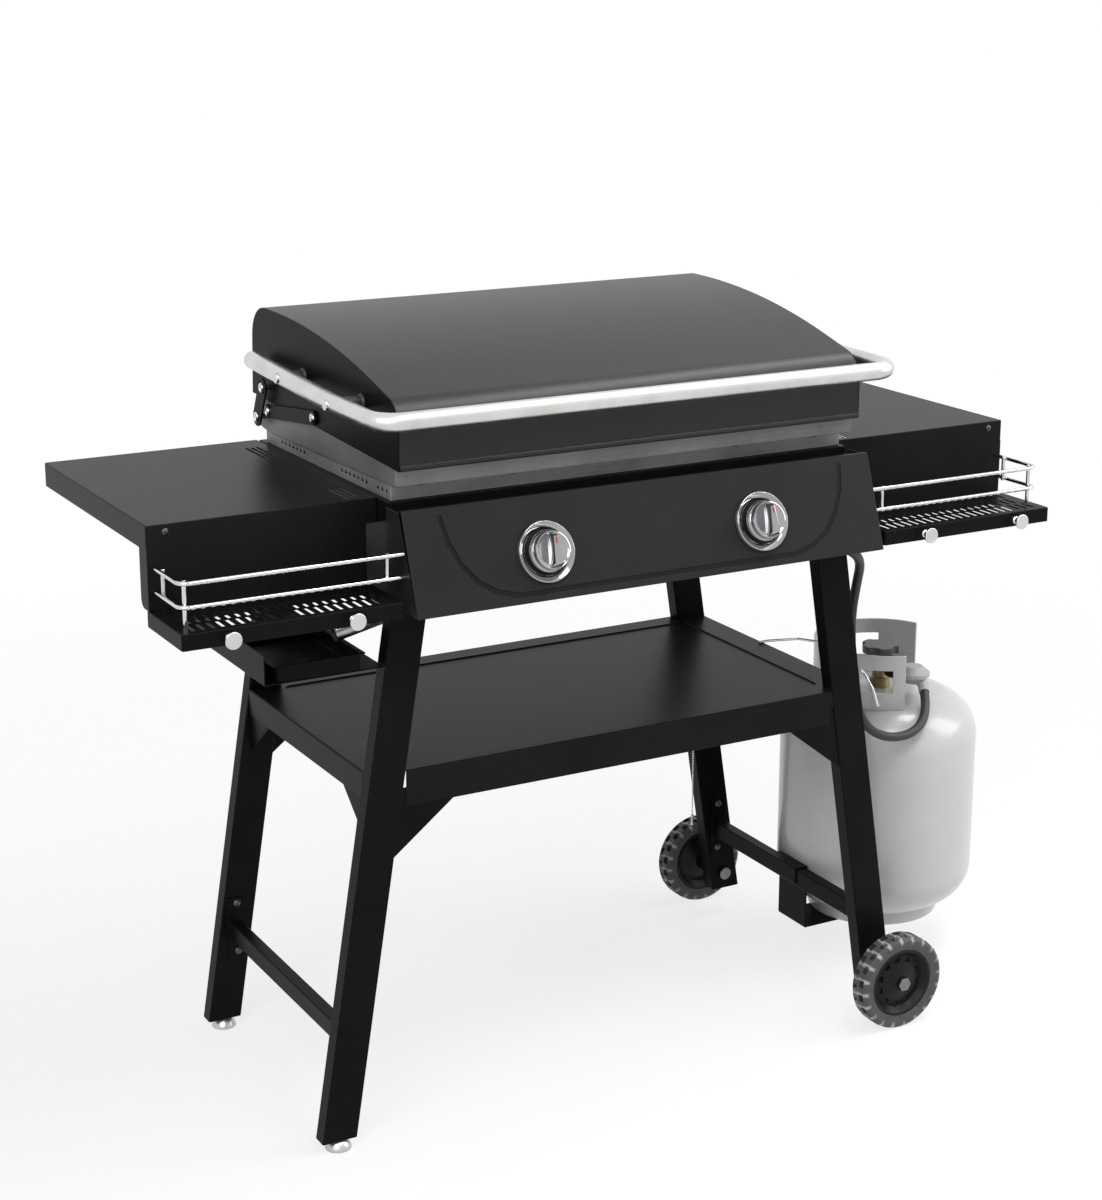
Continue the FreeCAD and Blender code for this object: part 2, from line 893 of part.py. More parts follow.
def panel_point(down_by, out_by=0):
    """A point of the panel's face by its distance down from the top edge, as depth and height."""
    down, out = panel_slope()
    return (
        S.panel_top_front + down.x * down_by + out.x * out_by,
        S.panel_top + down.y * down_by + out.y * out_by,
    )


def panel_normal():
    """The direction out of the control panel."""
    down, out = panel_slope()
    return (0, out.x, out.y)


def front_rail():
    """The slotted rail between the firebox and the panel."""
    body = start("front_rail")
    skin = S.sheet
    drop = (S.panel_top - S.rail_top) / -panel_slope()[0].y
    outline = folded(
        [
            (S.box_front - skin, S.rail_top - S.rail_drop),
            (S.box_front - skin, S.rail_top - skin),
            panel_point(drop + 2, -2 * skin),
            panel_point(drop + 14, -2 * skin),
        ],
        -skin,
    )
    pad(body, "YZ_Plane", outline, -S.box_half, "box_half * 2")
    slots = []
    middle = (S.box_front + S.panel_top_front) / 2 + 6
    half_slot = S.rail_slot_width / 2
    for i in range(-2, 3):
        across = i * (S.rail_pitch - 18)
        reach = (S.rail_slot - 8) / 2
        slots += box(across - reach, middle - half_slot, across + reach, middle + half_slot, 4)
    cut(body, "XY_Plane", slots, S.rail_top - 2 * skin, "sheet * 4")
    keep(body, "front_rail")


def groove_line():
    """The pressed groove's outer line on the panel: down each side and along the bottom."""
    right = [(306, -10), (300, -44), (287, -74), (268, -98), (244, -114), (214, -122)]
    return right + [(-x, y) for x, y in reversed(right)]


def control_panel():
    """The sloping control panel with a pressed groove, side cheeks and knob holes."""
    body = start("control_panel")
    skin = S.sheet
    half = S.panel_half
    down, out = panel_slope()
    length = math.hypot(S.panel_bottom_front - S.panel_top_front, S.panel_bottom - S.panel_top)
    face = folded(
        [
            (S.panel_top_front + 7, S.panel_top - 1),
            (S.panel_top_front, S.panel_top),
            (S.panel_bottom_front, S.panel_bottom),
            (S.panel_bottom_front + 16, S.panel_bottom),
        ],
        skin,
    )
    pad(body, "YZ_Plane", face, -half, "panel_half * 2")
    back = S.box_front
    for edge in (-half, half - skin):
        cheek = [
            (S.panel_top_front + 3, S.panel_top - 3),
            panel_point(4, -0.5),
            panel_point(length - 2, -0.5),
            (back, S.panel_bottom + 1),
            (back, S.panel_top - 3),
        ]
        pad(body, "YZ_Plane", rounded(cheek, 0), edge, "sheet")
    for side in (-1, 1):
        left, right = sorted((side * (half - skin), side * (half - 24)))
        tab = box(left, S.box_bottom, right, S.rail_top - S.rail_drop - 2)
        pad(body, "XZ_Plane", tab, back - skin, "sheet")
    tilt = math.degrees(math.atan2(-down.y, -down.x))
    frame = FreeCAD.Placement(V(0, S.panel_top_front, S.panel_top), FreeCAD.Rotation(V(1, 0, 0), tilt))
    groove = cut(body, "XY_Plane", folded(groove_line(), S.groove_width), frame, "groove_depth * 2")
    groove.Midplane = True
    holes = []
    for side in (-1, 1):
        holes += disc(side * S.knob_apart / 2, -S.knob_down, S.stem_radius + 2)
    through = cut(body, "XY_Plane", holes, frame, "sheet * 6")
    through.Midplane = True
    keep(body, "control_panel")


def knob_spot(side, out_by):
    """A point on a knob's axis at a distance out of the panel's sheet."""
    depth, height = panel_point(S.knob_down, out_by)
    return (side * S.knob_apart / 2, depth, height)


def knob_bezels():
    """Bright dished rings round the knobs."""
    items = []
    outer, inner, rise = S.bezel_radius, S.bezel_inner, S.bezel_rise
    for side in (-1, 1):
        body = start("bezel")
        dish = [(outer - 2, rise), (inner + 3, rise * 0.6), (inner, rise * 0.3)]
        outline = [(inner, 0), (outer, 0), (outer, 1.5), *dish]
        turn(body, rounded(outline, [0, 0, 0, 1.2, 0, 0]))
        items.append(aim(body, knob_spot(side, 0), panel_normal()))
    keep(group("knob_bezels", items), "knob_bezels")


def knob(node, side):
    """A smooth knob with a rim and a grip bar that flares towards its foot."""
    body = start(node)
    radius, tall = S.knob_radius, S.knob_height
    bore = S.stem_radius + S.running_gap / 2
    outline = [
        (bore, 0),
        (radius, 0),
        (radius, 5),
        (radius - 2, 8),
        (radius - 2.5, tall),
        (radius - 5, tall),
        (radius - 7, tall - 2),
        (bore, tall - 2),
    ]
    turn(body, rounded(outline, 0))
    reach = radius - 6
    foot, top = S.grip_foot / 2, S.grip_top / 2
    grip = [(-foot, -reach), (foot, -reach), (top, reach), (-top, reach)]
    pad(body, "XY_Plane", rounded(grip, 2), tall - 3, "grip_rise + 3")
    keep(aim(body, knob_spot(side, S.knob_gap), panel_normal()), node)


def valve_stem(node, side):
    """The rod from a gas valve to its knob."""
    root = knob_spot(side, 12 - S.valve_depth)
    length = "valve_depth - 12 + knob_gap + knob_height - 3"
    stem = rod(node, root, panel_normal(), "stem_radius", length)
    keep(stem, node)


def gas_valves():
    """Two gas valves on the manifold, each with a nose into its burner."""
    items = []
    for side in (-1, 1):
        x, y, z = knob_spot(side, -S.valve_depth + 6)
        body = start("valve")
        half = S.valve_width / 2
        block = [
            (y - 6, S.manifold_height - S.manifold_radius - 4),
            (y + 22, S.manifold_height - S.manifold_radius - 4),
            (y + 22, z + 16),
            (y + 2, z + 16),
            (y - 6, z + 6),
        ]
        pad(body, "YZ_Plane", rounded(block, 2), x - half, "valve_width")
        pipe = disc(manifold_depth(), S.manifold_height, S.manifold_radius)
        cut(body, "YZ_Plane", pipe, x - half, "valve_width")
        down, out = panel_slope()
        tilt = math.degrees(math.atan2(-down.y, -down.x))
        frame = FreeCAD.Placement(V(x, y, z), FreeCAD.Rotation(V(1, 0, 0), tilt))
        bore_radius = S.stem_radius + S.running_gap / 2
        bore = cut(body, "XY_Plane", disc(0, 0, bore_radius), frame, "valve_width * 2")
        bore.Reversed = True
        deep = cut(body, "XY_Plane", disc(0, 0, bore_radius), frame, "stem_push + 2")
        deep.Reversed = False
        nose = disc(x, S.burner_height, 7)
        pad(body, "XZ_Plane", nose, y + 20, f"box_front + {abs(y + 20)} + sheet")
        items.append(body)
    keep(group("gas_valves", items), "gas_valves")


def manifold_depth():
    """Depth of the manifold's axis."""
    return knob_spot(1, -S.valve_depth)[1] + 9


def manifold():
    """The gas pipe under the valves, closed at the left, with brackets to the firebox."""
    depth, height = manifold_depth(), S.manifold_height
    left = -S.knob_apart / 2 - 40
    pipe = rod("pipe", (left, depth, height), (1, 0, 0), "manifold_radius", "knob_apart + 150")
    inlet_end = left + S.knob_apart + 150
    way = (V(*HOSE[1]) - V(*HOSE[0])).normalize()
    corner = V(*HOSE[0]) - way * ((height - HOSE[0][2]) / -way.z)
    elbow = bent("elbow", [(inlet_end - 12, depth, height), tuple(corner), HOSE[0]], 8, "manifold_radius - 1")
    items = [pipe, elbow]
    for across in (-90, 90):
        strap = doc.addObject("Part::Box", "strap")
        bind(strap, Width=f"box_front - {depth}", Length="sheet * 2", Height="manifold_radius")
        items.append(place(strap, across, depth, height - S.manifold_radius / 2))
    keep(join("manifold", items), "manifold")


def burner(node, side):
    """A tube burner on two feet, with a row of ports along each side."""
    body = start(node)
    across = side * S.knob_apart / 2
    radius = S.burner_radius
    ring = disc(across, S.burner_height, radius) + disc(across, S.burner_height, radius - 1.5)
    pad(body, "XZ_Plane", ring, S.box_front, "burner_rear - box_front")
    pad(body, "XZ_Plane", disc(across, S.burner_height, radius), S.burner_rear, "sheet")
    shelf = S.box_bottom + 2 * S.sheet
    for depth in (S.box_front + 60, S.burner_rear - 30):
        foot_plate = rounded(
            [
                (across - radius, shelf),
                (across + radius, shelf),
                (across + radius * 0.8, S.burner_height - radius * 0.5),
                (across - radius * 0.8, S.burner_height - radius * 0.5),
            ],
            0,
        )
        pad(body, "XZ_Plane", foot_plate, depth, "sheet")
    bore = disc(across, S.burner_height, radius - 1.5)
    cut(body, "XZ_Plane", bore, S.box_front, "burner_rear - box_front")
    ports = []
    for i in range(8):
        ports += disc(S.box_front + 90 + i * 30, S.burner_height + 3, 1.5)
    cut(body, "YZ_Plane", ports, across - radius - 1, "burner_radius * 2 + 2")
    keep(body, node)


def igniters():
    """Spark electrodes clipped to the burners' front feet."""
    items = []
    shelf = S.box_bottom + 2 * S.sheet
    depth = S.box_front + 60 + S.sheet
    for side in (-1, 1):
        across = side * S.knob_apart / 2
        clip = bind(doc.addObject("Part::Box", "clip"), Length="10", Width="sheet", Height="24")
        place(clip, across - 5, depth, shelf + 2)
        post = rod("electrode", (across, depth + 5, shelf + 6), (0, 0, 1), "3", "18")
        shoe = bind(doc.addObject("Part::Box", "shoe"), Length="8", Width="6", Height="6")
        place(shoe, across - 4, depth + 0.5, shelf + 6)
        items.append(join("igniter", [clip, post, shoe]))
    keep(group("igniters", items), "igniters")


def burner_shield():
    """The pan under the burners, resting on the firebox's foot flange."""
    body = start("burner_shield")
    half, skin = S.box_half - S.box_foot + S.shield_lap, S.sheet
    lap = S.box_foot - S.shield_end_lap
    front, rear = S.box_front + lap, S.box_rear - lap
    pad(body, "XY_Plane", box(-half, front, half, rear, 3), S.box_bottom + skin, "sheet")
    rim = box(-half, front, half, rear, 3) + box(-half + skin, front + skin, half - skin, rear - skin, 1.5)
    pad(body, "XY_Plane", rim, S.box_bottom + skin, "shield_rim")
    cut(body, "XY_Plane", disc(*drain_spot(), S.drain_radius), S.box_bottom, "shield_rim + sheet * 2")
    keep(body, "burner_shield")


# Griddle plate, lid and linkage


def wall_top(depth):
    """Height of the griddle's side walls at a depth."""
    rise = (S.wall_rear_top - S.wall_front_top) / (S.plate_rear - S.plate_front)
    return S.wall_front_top + rise * (depth - S.plate_front)


def lid_half():
    """Half the lid's width over its ends."""
    return S.box_half - S.lid_inset


def plate_half():
    """Half the plate's width, inside the lid's ends."""
    return lid_half() - S.sheet - S.lid_fit


def griddle_plate():
    """The cooking plate: floor, front band, rear wall and raised side walls."""
    body = start("griddle_plate")
    half, wall = plate_half(), S.plate_wall
    front, rear = S.plate_front, S.plate_rear - 4
    side = [
        (front, S.plate_floor),
        (176, S.plate_floor - 5),
        (194, S.plate_floor - 4),
        (223, S.plate_floor),
        (S.plate_rear, S.plate_floor + 12),
        (S.plate_rear, wall_top(S.plate_rear)),
        (front, wall_top(front)),
    ]
    for edge in (-half, half - wall):
        pad(body, "YZ_Plane", rounded(side, [4, 0, 4, 8, 6, 3, 4]), edge, "plate_wall")
    floor = box(-half + 1, front + 1, half - 1, rear)
    pad(body, "XY_Plane", floor, S.plate_floor, "plate_skin")
    band = box(-half + 1, S.plate_floor, half - 1, S.wall_front_top)
    pad(body, "XZ_Plane", band, front, "plate_wall")
    back = box(-half + 1, S.plate_floor, half - 1, wall_top(rear) - 6)
    pad(body, "XZ_Plane", back, rear - wall, "plate_wall")
    bolts = disc(G1[0], G1[1], S.pin_radius) + disc(G2[0], G2[1], S.pin_radius)
    cut(body, "YZ_Plane", bolts, -half - 1, "box_half * 2")
    cut(body, "XY_Plane", disc(*drain_spot(), S.drain_radius), S.plate_floor - 1, "plate_skin + 2")
    keep(body, "griddle_plate")


def drain_spot():
    """Place of the grease drain in the plate."""
    return (-plate_half() + 32, S.plate_front + 60)


def griddle_skirt():
    """The set-back skirt under the plate, with vents at its sides and notches at its front."""
    body = start("griddle_skirt")
    half, skin = plate_half() - S.plate_wall - S.skirt_fit, S.sheet
    front, rear = S.skirt_front, 205
    ring = box(-half, front, half, rear, 2) + box(-half + skin, front + skin, half - skin, rear - skin, 0.5)
    pad(body, "XY_Plane", ring, S.box_top, "plate_floor - box_top")
    vents = []
    for first, last in ((69, 154), (-134, -52), (-195, -162)):
        count = int((last - first) / 13)
        for i in range(count + 1):
            spot = first + i * 13
            vents += rounded([(spot - 4, S.box_top + 8), (spot + 4, S.box_top + 8), (spot, S.box_top + 15)], 0)
    cut(body, "YZ_Plane", vents, -half - 1, "box_half * 2")
    notches = []
    for across in (-306, -175, 175, 306):
        notches += box(across - 5, S.plate_floor - 6, across + 5, S.plate_floor - 2)
    cut(body, "XZ_Plane", notches, front - 1, "sheet + 2")
    keep(body, "griddle_skirt")


def lid_points(extra=0):
    """Corners of the lid's side outline, counter-clockwise seen from the right."""
    low = S.lid_gap - extra
    top = S.wall_front_top + S.lid_rise
    return [
        (S.lid_front, wall_top(S.lid_front) + low),
        (S.lid_rear + 3, wall_top(S.lid_rear + 3) + low),
        (S.lid_rear - 4, top),
        (S.lid_crest, top),
        (S.lid_front - 1, S.wall_front_top + S.lid_shoulder_rise),
    ]


def lid_radii(less=0):
    """Corner radii of the lid's outline, the roof's bend limited by the runs beside it."""
    _, _, rear, crest, shoulder = [V(a, b, 0) for a, b in lid_points()]
    slope = (shoulder - crest).getAngle(rear - crest)
    front_run = (shoulder - crest).Length - S.lid_front_radius
    rear_run = (rear - crest).Length - S.lid_rear_radius
    roof = min(S.lid_roof_radius, min(front_run, rear_run) * math.tan(slope / 2))
    radii = [0, 0, S.lid_rear_radius, roof, S.lid_front_radius]
    return [r - less if r else 0 for r in radii]


def lid_top():
    """The lid's rolled front, roof and rear in one sheet, with a bright rolled lip."""
    body = start("lid_top")
    half, skin = lid_half(), S.sheet
    width = "(box_half - lid_inset - sheet) * 2"
    pad(body, "YZ_Plane", rounded(lid_points(), lid_radii()), -half + skin, width)
    hollow = inset(lid_points(40), skin)
    cut(body, "YZ_Plane", rounded(hollow, lid_radii(skin)), -half, "box_half * 2")
    low = wall_top(S.lid_front) + S.lid_gap
    lip = disc(S.lid_front + skin / 2, low + S.lip_radius, S.lip_radius)
    pad(body, "YZ_Plane", lip, -half + skin, width)
    keep(body, "lid_top")


def lid_ends():
    """The lid's two flat ends, drilled for the link bolts and the handle's standoffs."""
    items = []
    half, skin = lid_half(), S.sheet
    for edge in (-half, half - skin):
        body = start("lid_end")
        pad(body, "YZ_Plane", rounded(lid_points(), lid_radii()), edge, "sheet")
        holes = disc(*L1, S.pin_radius) + disc(*L2, S.pin_radius)
        for depth in STANDOFFS:
            holes += disc(depth, handle_level(depth), S.screw_radius)
        cut(body, "YZ_Plane", holes, edge, "sheet")
        items.append(body)
    keep(group("lid_ends", items), "lid_ends")


def handle_level(depth):
    """Height of the handle's centre line at a depth."""
    share = (depth - S.handle_front) / (S.handle_end - S.handle_front)
    return S.handle_height + S.handle_slope * share


def handle_across(depth):
    """Distance of the handle's side arms from the centre plane at a depth."""
    side = lid_half() + S.handle_gap
    if depth < S.handle_knee:
        return side
    share = (depth - S.handle_knee) / (S.handle_end - S.handle_knee)
    return side + (S.handle_end_gap - S.handle_gap) * share


def handle_tube(name, radius):
    """The bent bar of the handle at a radius."""
    depths = (S.handle_end, S.handle_knee, S.handle_front)
    right = [(handle_across(depth), depth, handle_level(depth)) for depth in depths]
    points = right + [(-x, y, z) for x, y, z in reversed(right)]
    return bent(name, points, S.handle_bend, radius)


def lid_handle():
    """The wrap-round handle, hollow, drilled for its screws."""
    solid = handle_tube("handle_solid", "handle_radius")
    bore = handle_tube("handle_bore", "handle_radius - sheet")
    drills = [screw_shank("drill", side, depth) for side, depth in screw_spots()]
    holes = join("handle_holes", [bore, *drills])
    keep(subtract("lid_handle", solid, holes), "lid_handle")


def screw_spots():
    """Side and depth of each of the handle's screws."""
    return [(side, depth) for side in (-1, 1) for depth in STANDOFFS]


def screw_shank(name, side, depth):
    """The shank of a screw from the lid's end through the handle."""
    inner = lid_half() - S.sheet
    spot = (side * inner, depth, handle_level(depth))
    reach = handle_across(depth) + S.handle_radius - inner
    return rod(name, spot, (side, 0, 0), "screw_radius", f"{reach}")


def lid_fasteners():
    """Handle standoffs and screws, and the two link bolts on each end of the lid."""
    form = handle_tube("handle_form", "handle_radius")
    items = []
    for side, depth in screw_spots():
        spot = (side * lid_half(), depth, handle_level(depth))
        reach = handle_across(depth) - lid_half()
        sleeve = rod("sleeve", spot, (side, 0, 0), "standoff_radius", f"{reach}")
        seated = subtract("seated_sleeve", sleeve, form)
        items.append(subtract("standoff", seated, screw_shank("hole", side, depth)))
        end = (side * (handle_across(depth) + S.handle_radius - 1.5), depth, handle_level(depth))
        head = subtract("screw_head", rod("head", end, (side, 0, 0), "screw_radius * 1.7", "3.5"), form)
        items.append(join("screw", [screw_shank("shank", side, depth), head]))
    for side in (-1, 1):
        items.append(link_bolt("lid_bolt", side, L1, 1, lid_half()))
        items.append(link_bolt("lid_bolt", side, L2, 2, lid_half()))
    keep(group("lid_fasteners", items), "lid_fasteners")


def link_face(layer):
    """Distance of the outer face of a link layer from the centre plane."""
    return lid_half() + S.link_layer + S.link_thick + S.rear_link_step * (layer - 1)


def link_bolt(name, side, pivot, layer, carrier):
    """A domed bolt that holds a link to the outer face of the plate or the lid."""
    face = link_face(layer) + S.link_layer / 2
    head = (side * face, *pivot)
    reach = face - carrier + S.sheet
    return dome_bolt(name, head, (side, 0, 0), S.pin_head, 3.5, S.pin_radius, reach)


def hinge_bolts():
    """The link bolts on the griddle plate."""
    items = []
    for side in (-1, 1):
        items.append(link_bolt("plate_bolt", side, G1, 1, plate_half()))
        items.append(link_bolt("plate_bolt", side, G2, 2, plate_half()))
    keep(group("hinge_bolts", items), "hinge_bolts")


def link_outline(first, second, half):
    """A bar with round ends about two pivots."""
    a, b = V(*first, 0), V(*second, 0)
    along = (b - a).normalize()
    across = V(-along.y, along.x, 0) * half
    return [
        Part.LineSegment(a + across, b + across),
        Part.Arc(b + across, b + along * half, b - across),
        Part.LineSegment(b - across, a - across),
        Part.Arc(a - across, a - along * half, a + across),
    ]


def front_links():
    """The long front links from the plate to the lid."""
    items = []
    for side in (-1, 1):
        body = start("front_link")
        outer = link_face(1)
        near = outer - S.link_thick if side > 0 else -outer
        bar = link_outline(G1, L1, S.link_half)
        for pivot in (G1, L1):
            bar += disc(*pivot, S.pin_radius + S.running_gap / 2)
        pad(body, "YZ_Plane", bar, near, "link_thick")
        items.append(body)
    keep(group("front_links", items), "front_links")


def rear_links():
    """The short rear links, with a slot where each meets its lid bolt."""
    items = []
    for side in (-1, 1):
        body = start("rear_link")
        outer = link_face(2)
        near = outer - S.link_thick if side > 0 else -outer
        bar = link_outline(G2, L2, S.rear_link_half)
        bar += disc(*G2, S.pin_radius + S.running_gap / 2)
        slot_way = V(math.cos(SLOT_ANGLE), math.sin(SLOT_ANGLE), 0)
        centre = V(*L2, 0)
        low, high = centre + slot_way * SLOT_LOW, centre + slot_way * SLOT_HIGH
        bar += link_outline((low.x, low.y), (high.x, high.y), S.pin_radius + 1.4)
        pad(body, "YZ_Plane", bar, near, "link_thick")
        items.append(body)
    keep(group("rear_links", items), "rear_links")


# Side tables, caddies, rails and hooks


def table():
    """A side table with a turned-down rim, vent slots, a front apron and a bracket."""
    body = start("table_right")
    skin = S.table_sheet
    inner, outer, front, rear = S.box_half, S.table_half, S.table_front, S.table_rear
    low = S.table_top - S.table_rim
    pad(body, "XY_Plane", box(inner, front, outer, rear, 3), low, "table_rim")
    hollow = box(inner + skin, front + skin, outer - skin, rear - skin, 2)
    cut(body, "XY_Plane", hollow, low, "table_rim - table_sheet")
    slots = []
    for i in range(3):
        across = inner + 20 + i * 8
        slots += box(across - 2, 106, across + 2, 180) + box(across - 2, front + 10, across + 2, -103)
    cut(body, "XY_Plane", slots, S.table_top - skin * 2, "table_sheet * 3")
    apron = box(S.caddy_inner, S.apron_bottom, outer, low + 1)
    pad(body, "XZ_Plane", apron, front, "table_sheet")
    arm = [
        (front + 0.5, S.apron_bottom),
        (front + S.bracket_width, S.apron_bottom),
        (front + S.bracket_width, low + 1),
        (front + 0.5, low + 1),
    ]
    pad(body, "YZ_Plane", rounded(arm, [0, 12, 0, 0]), outer - skin, "table_sheet")
    cut(body, "XZ_Plane", disc(outer - 25, S.table_top - 10, 2), front, "table_sheet")
    keep(body, "table_right")
    keep(mirrored("table_left", body), "table_left")


def caddy():
    """A slotted tool caddy in front of a side table, with a turned-down rim."""
    body = start("caddy_right")
    skin = S.table_sheet
    inner, outer = S.caddy_inner, S.table_half
    front, rear = S.caddy_front, S.table_front + S.caddy_tuck
    low = S.apron_bottom - S.caddy_drop
    pad(body, "XY_Plane", box(inner, front, outer, rear, 3), low, "caddy_drop")
    hollow = box(inner + skin, front + skin, outer - skin, rear - skin, 2)
    cut(body, "XY_Plane", hollow, low, "caddy_drop - table_sheet")
    slots = []
    half = S.slot_width / 2
    rows = ((-214, -182, 0), (-249, -220, 0.5), (-281, -254, 0))
    for near, far, shift in rows:
        count = int((outer - inner - 30) / S.slot_pitch - shift)
        for i in range(count + 1):
            across = inner + 16 + (i + shift) * S.slot_pitch
            slots += box(across - half, near, across + half, far)
    cut(body, "XY_Plane", slots, S.apron_bottom - skin * 2, "table_sheet * 3")
    keep(body, "caddy_right")
    keep(mirrored("caddy_left", body), "caddy_left")


def rails():
    """The two wire rails round a caddy, linked by posts, one of which stands on its floor."""
    items = []
    side, front, back, inner = S.wire_side, S.wire_front, S.table_front, S.panel_half
    for height in (S.wire_low, S.wire_high):
        points = [(side, back, height), (side, front, height), (inner, front, height)]
        items.append(bent("wire", points, S.wire_bend, "wire_radius"))
    offset = S.wire_radius * 1.6
    corner = S.wire_bend * 0.3 + offset
    bottom = S.wire_low - S.wire_radius
    posts = [
        (side - corner, front + corner, S.apron_bottom),
        (side - offset, back - 22, bottom),
        (S.caddy_inner + 12, front + offset, bottom),
    ]
    for x, y, foot in posts:
        tall = f"wire_high + wire_radius - {foot}"
        items.append(rod("post", (x, y, foot), (0, 0, 1), "wire_radius", tall))
    right = join("rails_right", items)
    keep(right, "rails_right")
    keep(mirrored("rails_left", right), "rails_left")


def tool_hooks():
    """Round tool hooks along the caddies' front rims."""
    items = []
    for across in (-607, -443, 443, 607):
        body = start("hook")
        reach, radius = S.hook_reach, S.hook_radius
        curves = rounded(
            [(0, 0), (6, 0), (4, 2), (4, reach - 3), (radius, reach - 3), (radius, reach), (0, reach)],
            [0, 0, 0, 0, 0, 1, 0],
        )
        turn(body, curves)
        items.append(aim(body, (across, S.caddy_front, S.hook_height + 4), (0, -1, 0)))
    keep(group("tool_hooks", items), "tool_hooks")


# Drip tray and its guide


def tray_guide():
    """The guide under the left caddy that carries the drip tray from the left legs."""
    body = start("tray_guide")
    skin = S.sheet
    low, tall = S.guide_bottom, S.guide_height
    front = S.leg_front
    leg_side = leg_outer(low + tall / 2)
    outline = folded(
        [
            (-S.guide_left, low + tall),
            (-S.guide_left, low),
            (-leg_outer(low) - 1.2, low),
        ],
        skin,
    )
    pad(body, "XZ_Plane", outline, front, "leg_rear - leg_front")
    hole = box(-S.guide_left + 36, front + 30, -leg_outer(low) - 54, S.leg_rear - 30, 4)
    cut(body, "XY_Plane", hole, low - 1, "sheet + 2")
    wall = rounded(
        [
            (-S.guide_left, low),
            (-leg_outer(low), low),
            (-leg_outer(low + tall), low + tall),
            (-S.guide_left, low + tall),
        ],
        0,
    )
    pad(body, "XZ_Plane", wall, S.leg_rear - skin, "sheet")
    keep(body, "tray_guide")


def drip_tray():
    """The sliding drip tray with a turned-out rim."""
    body = start("drip_tray")
    skin = S.sheet
    left, right = -S.tray_left, -S.tray_right
    front, rear = S.tray_front, S.tray_front + S.tray_depth
    low = S.guide_bottom + skin + 0.3
    rim = 6
    hollow = box(left + rim + skin, front + skin, right - rim - skin, rear - rim - skin, 6.5)
    pad(body, "XY_Plane", box(left + rim, front, right - rim, rear - rim, 8), low, "tray_height")
    cut(body, "XY_Plane", hollow, low + skin, "tray_height")
    pad(body, "XY_Plane", box(left, front, right, rear, 3) + hollow, low + S.tray_height - skin, "sheet")
    keep(body, "drip_tray")


def grease_chute():
    """The chute from the plate's drain down to the tray."""
    across, depth = drain_spot()
    points = [
        (across, depth, S.plate_floor),
        (across, depth, S.box_bottom - 30),
        (-S.tray_right - 22, depth, S.guide_bottom + S.tray_height + 16),
    ]
    solid = bent("chute_solid", points, 24, "drain_radius - 1")
    bore = bent("chute_bore", points, 24, "drain_radius - 2.5")
    keep(subtract("grease_chute", solid, bore), "grease_chute")


# Gas cylinder, hanger, regulator and hose


def tank_hanger():
    """The bracket over the right crossbar whose ledge carries the cylinder's foot ring."""
    body = start("tank_hanger")
    across = leg_middle((S.bar_top + S.bar_bottom) / 2)
    half = S.bar_width / 2
    skin = S.ledge_sheet
    outline = folded(
        [
            (across - half, S.bar_bottom + 4),
            (across - half, S.bar_top),
            (across + half, S.bar_top),
            (across + half, S.ledge_bottom),
            (S.ledge_end, S.ledge_bottom),
            (S.ledge_end, S.ledge_bottom + 8),
        ],
        skin,
    )
    pad(body, "XZ_Plane", outline, S.saddle_front, "saddle_rear - saddle_front")
    keep(body, "tank_hanger")


def tank_form(name, skin):
    """The cylinder's form turned about its axis, smaller than its outside by a skin."""
    body = start(name)
    radius, low, high = S.tank_radius - skin, S.tank_bottom + skin, S.tank_top - skin
    curves = [
        Part.LineSegment(V(0, low, 0), V(radius * 0.55, low + 6, 0)),
        Part.Arc(V(radius * 0.55, low + 6, 0), V(radius * 0.9, low + 28, 0), V(radius, low + 75, 0)),
        Part.LineSegment(V(radius, low + 75, 0), V(radius, high - 78, 0)),
        Part.Arc(V(radius, high - 78, 0), V(radius * 0.9, high - 30, 0), V(radius * 0.55, high - 6, 0)),
        Part.LineSegment(V(radius * 0.55, high - 6, 0), V(0, high, 0)),
        Part.LineSegment(V(0, high, 0), V(0, low, 0)),
    ]
    turn(body, curves)
    return place(body, S.tank_x, S.tank_y)


def gas_cylinder():
    """The cylinder's welded shell, hollow for the gas."""
    outside = tank_form("tank_outside", 0)
    keep(subtract("gas_cylinder", outside, tank_form("tank_inside", S.tank_wall)), "gas_cylinder")


def cylinder_rings():
    """The foot ring and the collar with its gap and hand windows."""
    foot = ring_part("foot_ring", S.ring_radius, S.ledge_bottom + S.ledge_sheet, S.tank_bottom + 24)
    collar = ring_part("collar", S.collar_radius, S.tank_top - 22, S.collar_top)
    gap = sector("gap", S.collar_radius + 10, -105, 20, S.tank_top - 24, S.collar_top + 5)
    window = sector("window", S.collar_radius + 10, -152, -116, S.tank_top + 20, S.collar_top - 24)
    rear = sector("rear_window", S.collar_radius + 10, 55, 130, S.tank_top + 20, S.collar_top - 24)
    shaped = subtract("collar_cut", collar, join("openings", [gap, window, rear]))
    pair = group("ring_pair", [foot, shaped])
    keep(subtract("cylinder_rings", pair, tank_form("ring_seat", 0)), "cylinder_rings")


def ring_part(name, radius, low, high):
    """A plain ring about the cylinder's axis."""
    body = start(name)
    ring = disc(0, 0, radius) + disc(0, 0, radius - S.ring_wall)
    pad(body, "XY_Plane", ring, low, f"{high - low}")
    return place(body, S.tank_x, S.tank_y)


def sector(name, radius, first, last, low, high):
    """A wedge about the cylinder's axis between two angles."""
    wedge = doc.addObject("Part::Cylinder", name)
    wedge.Radius = radius
    wedge.Height = high - low
    wedge.Angle = last - first
    return place(wedge, S.tank_x, S.tank_y, low, V(0, 0, 1), first)


def outlet_way():
    """Direction of the cylinder valve's outlet."""
    angle = math.radians(-79)
    return (math.cos(angle), math.sin(angle), 0)


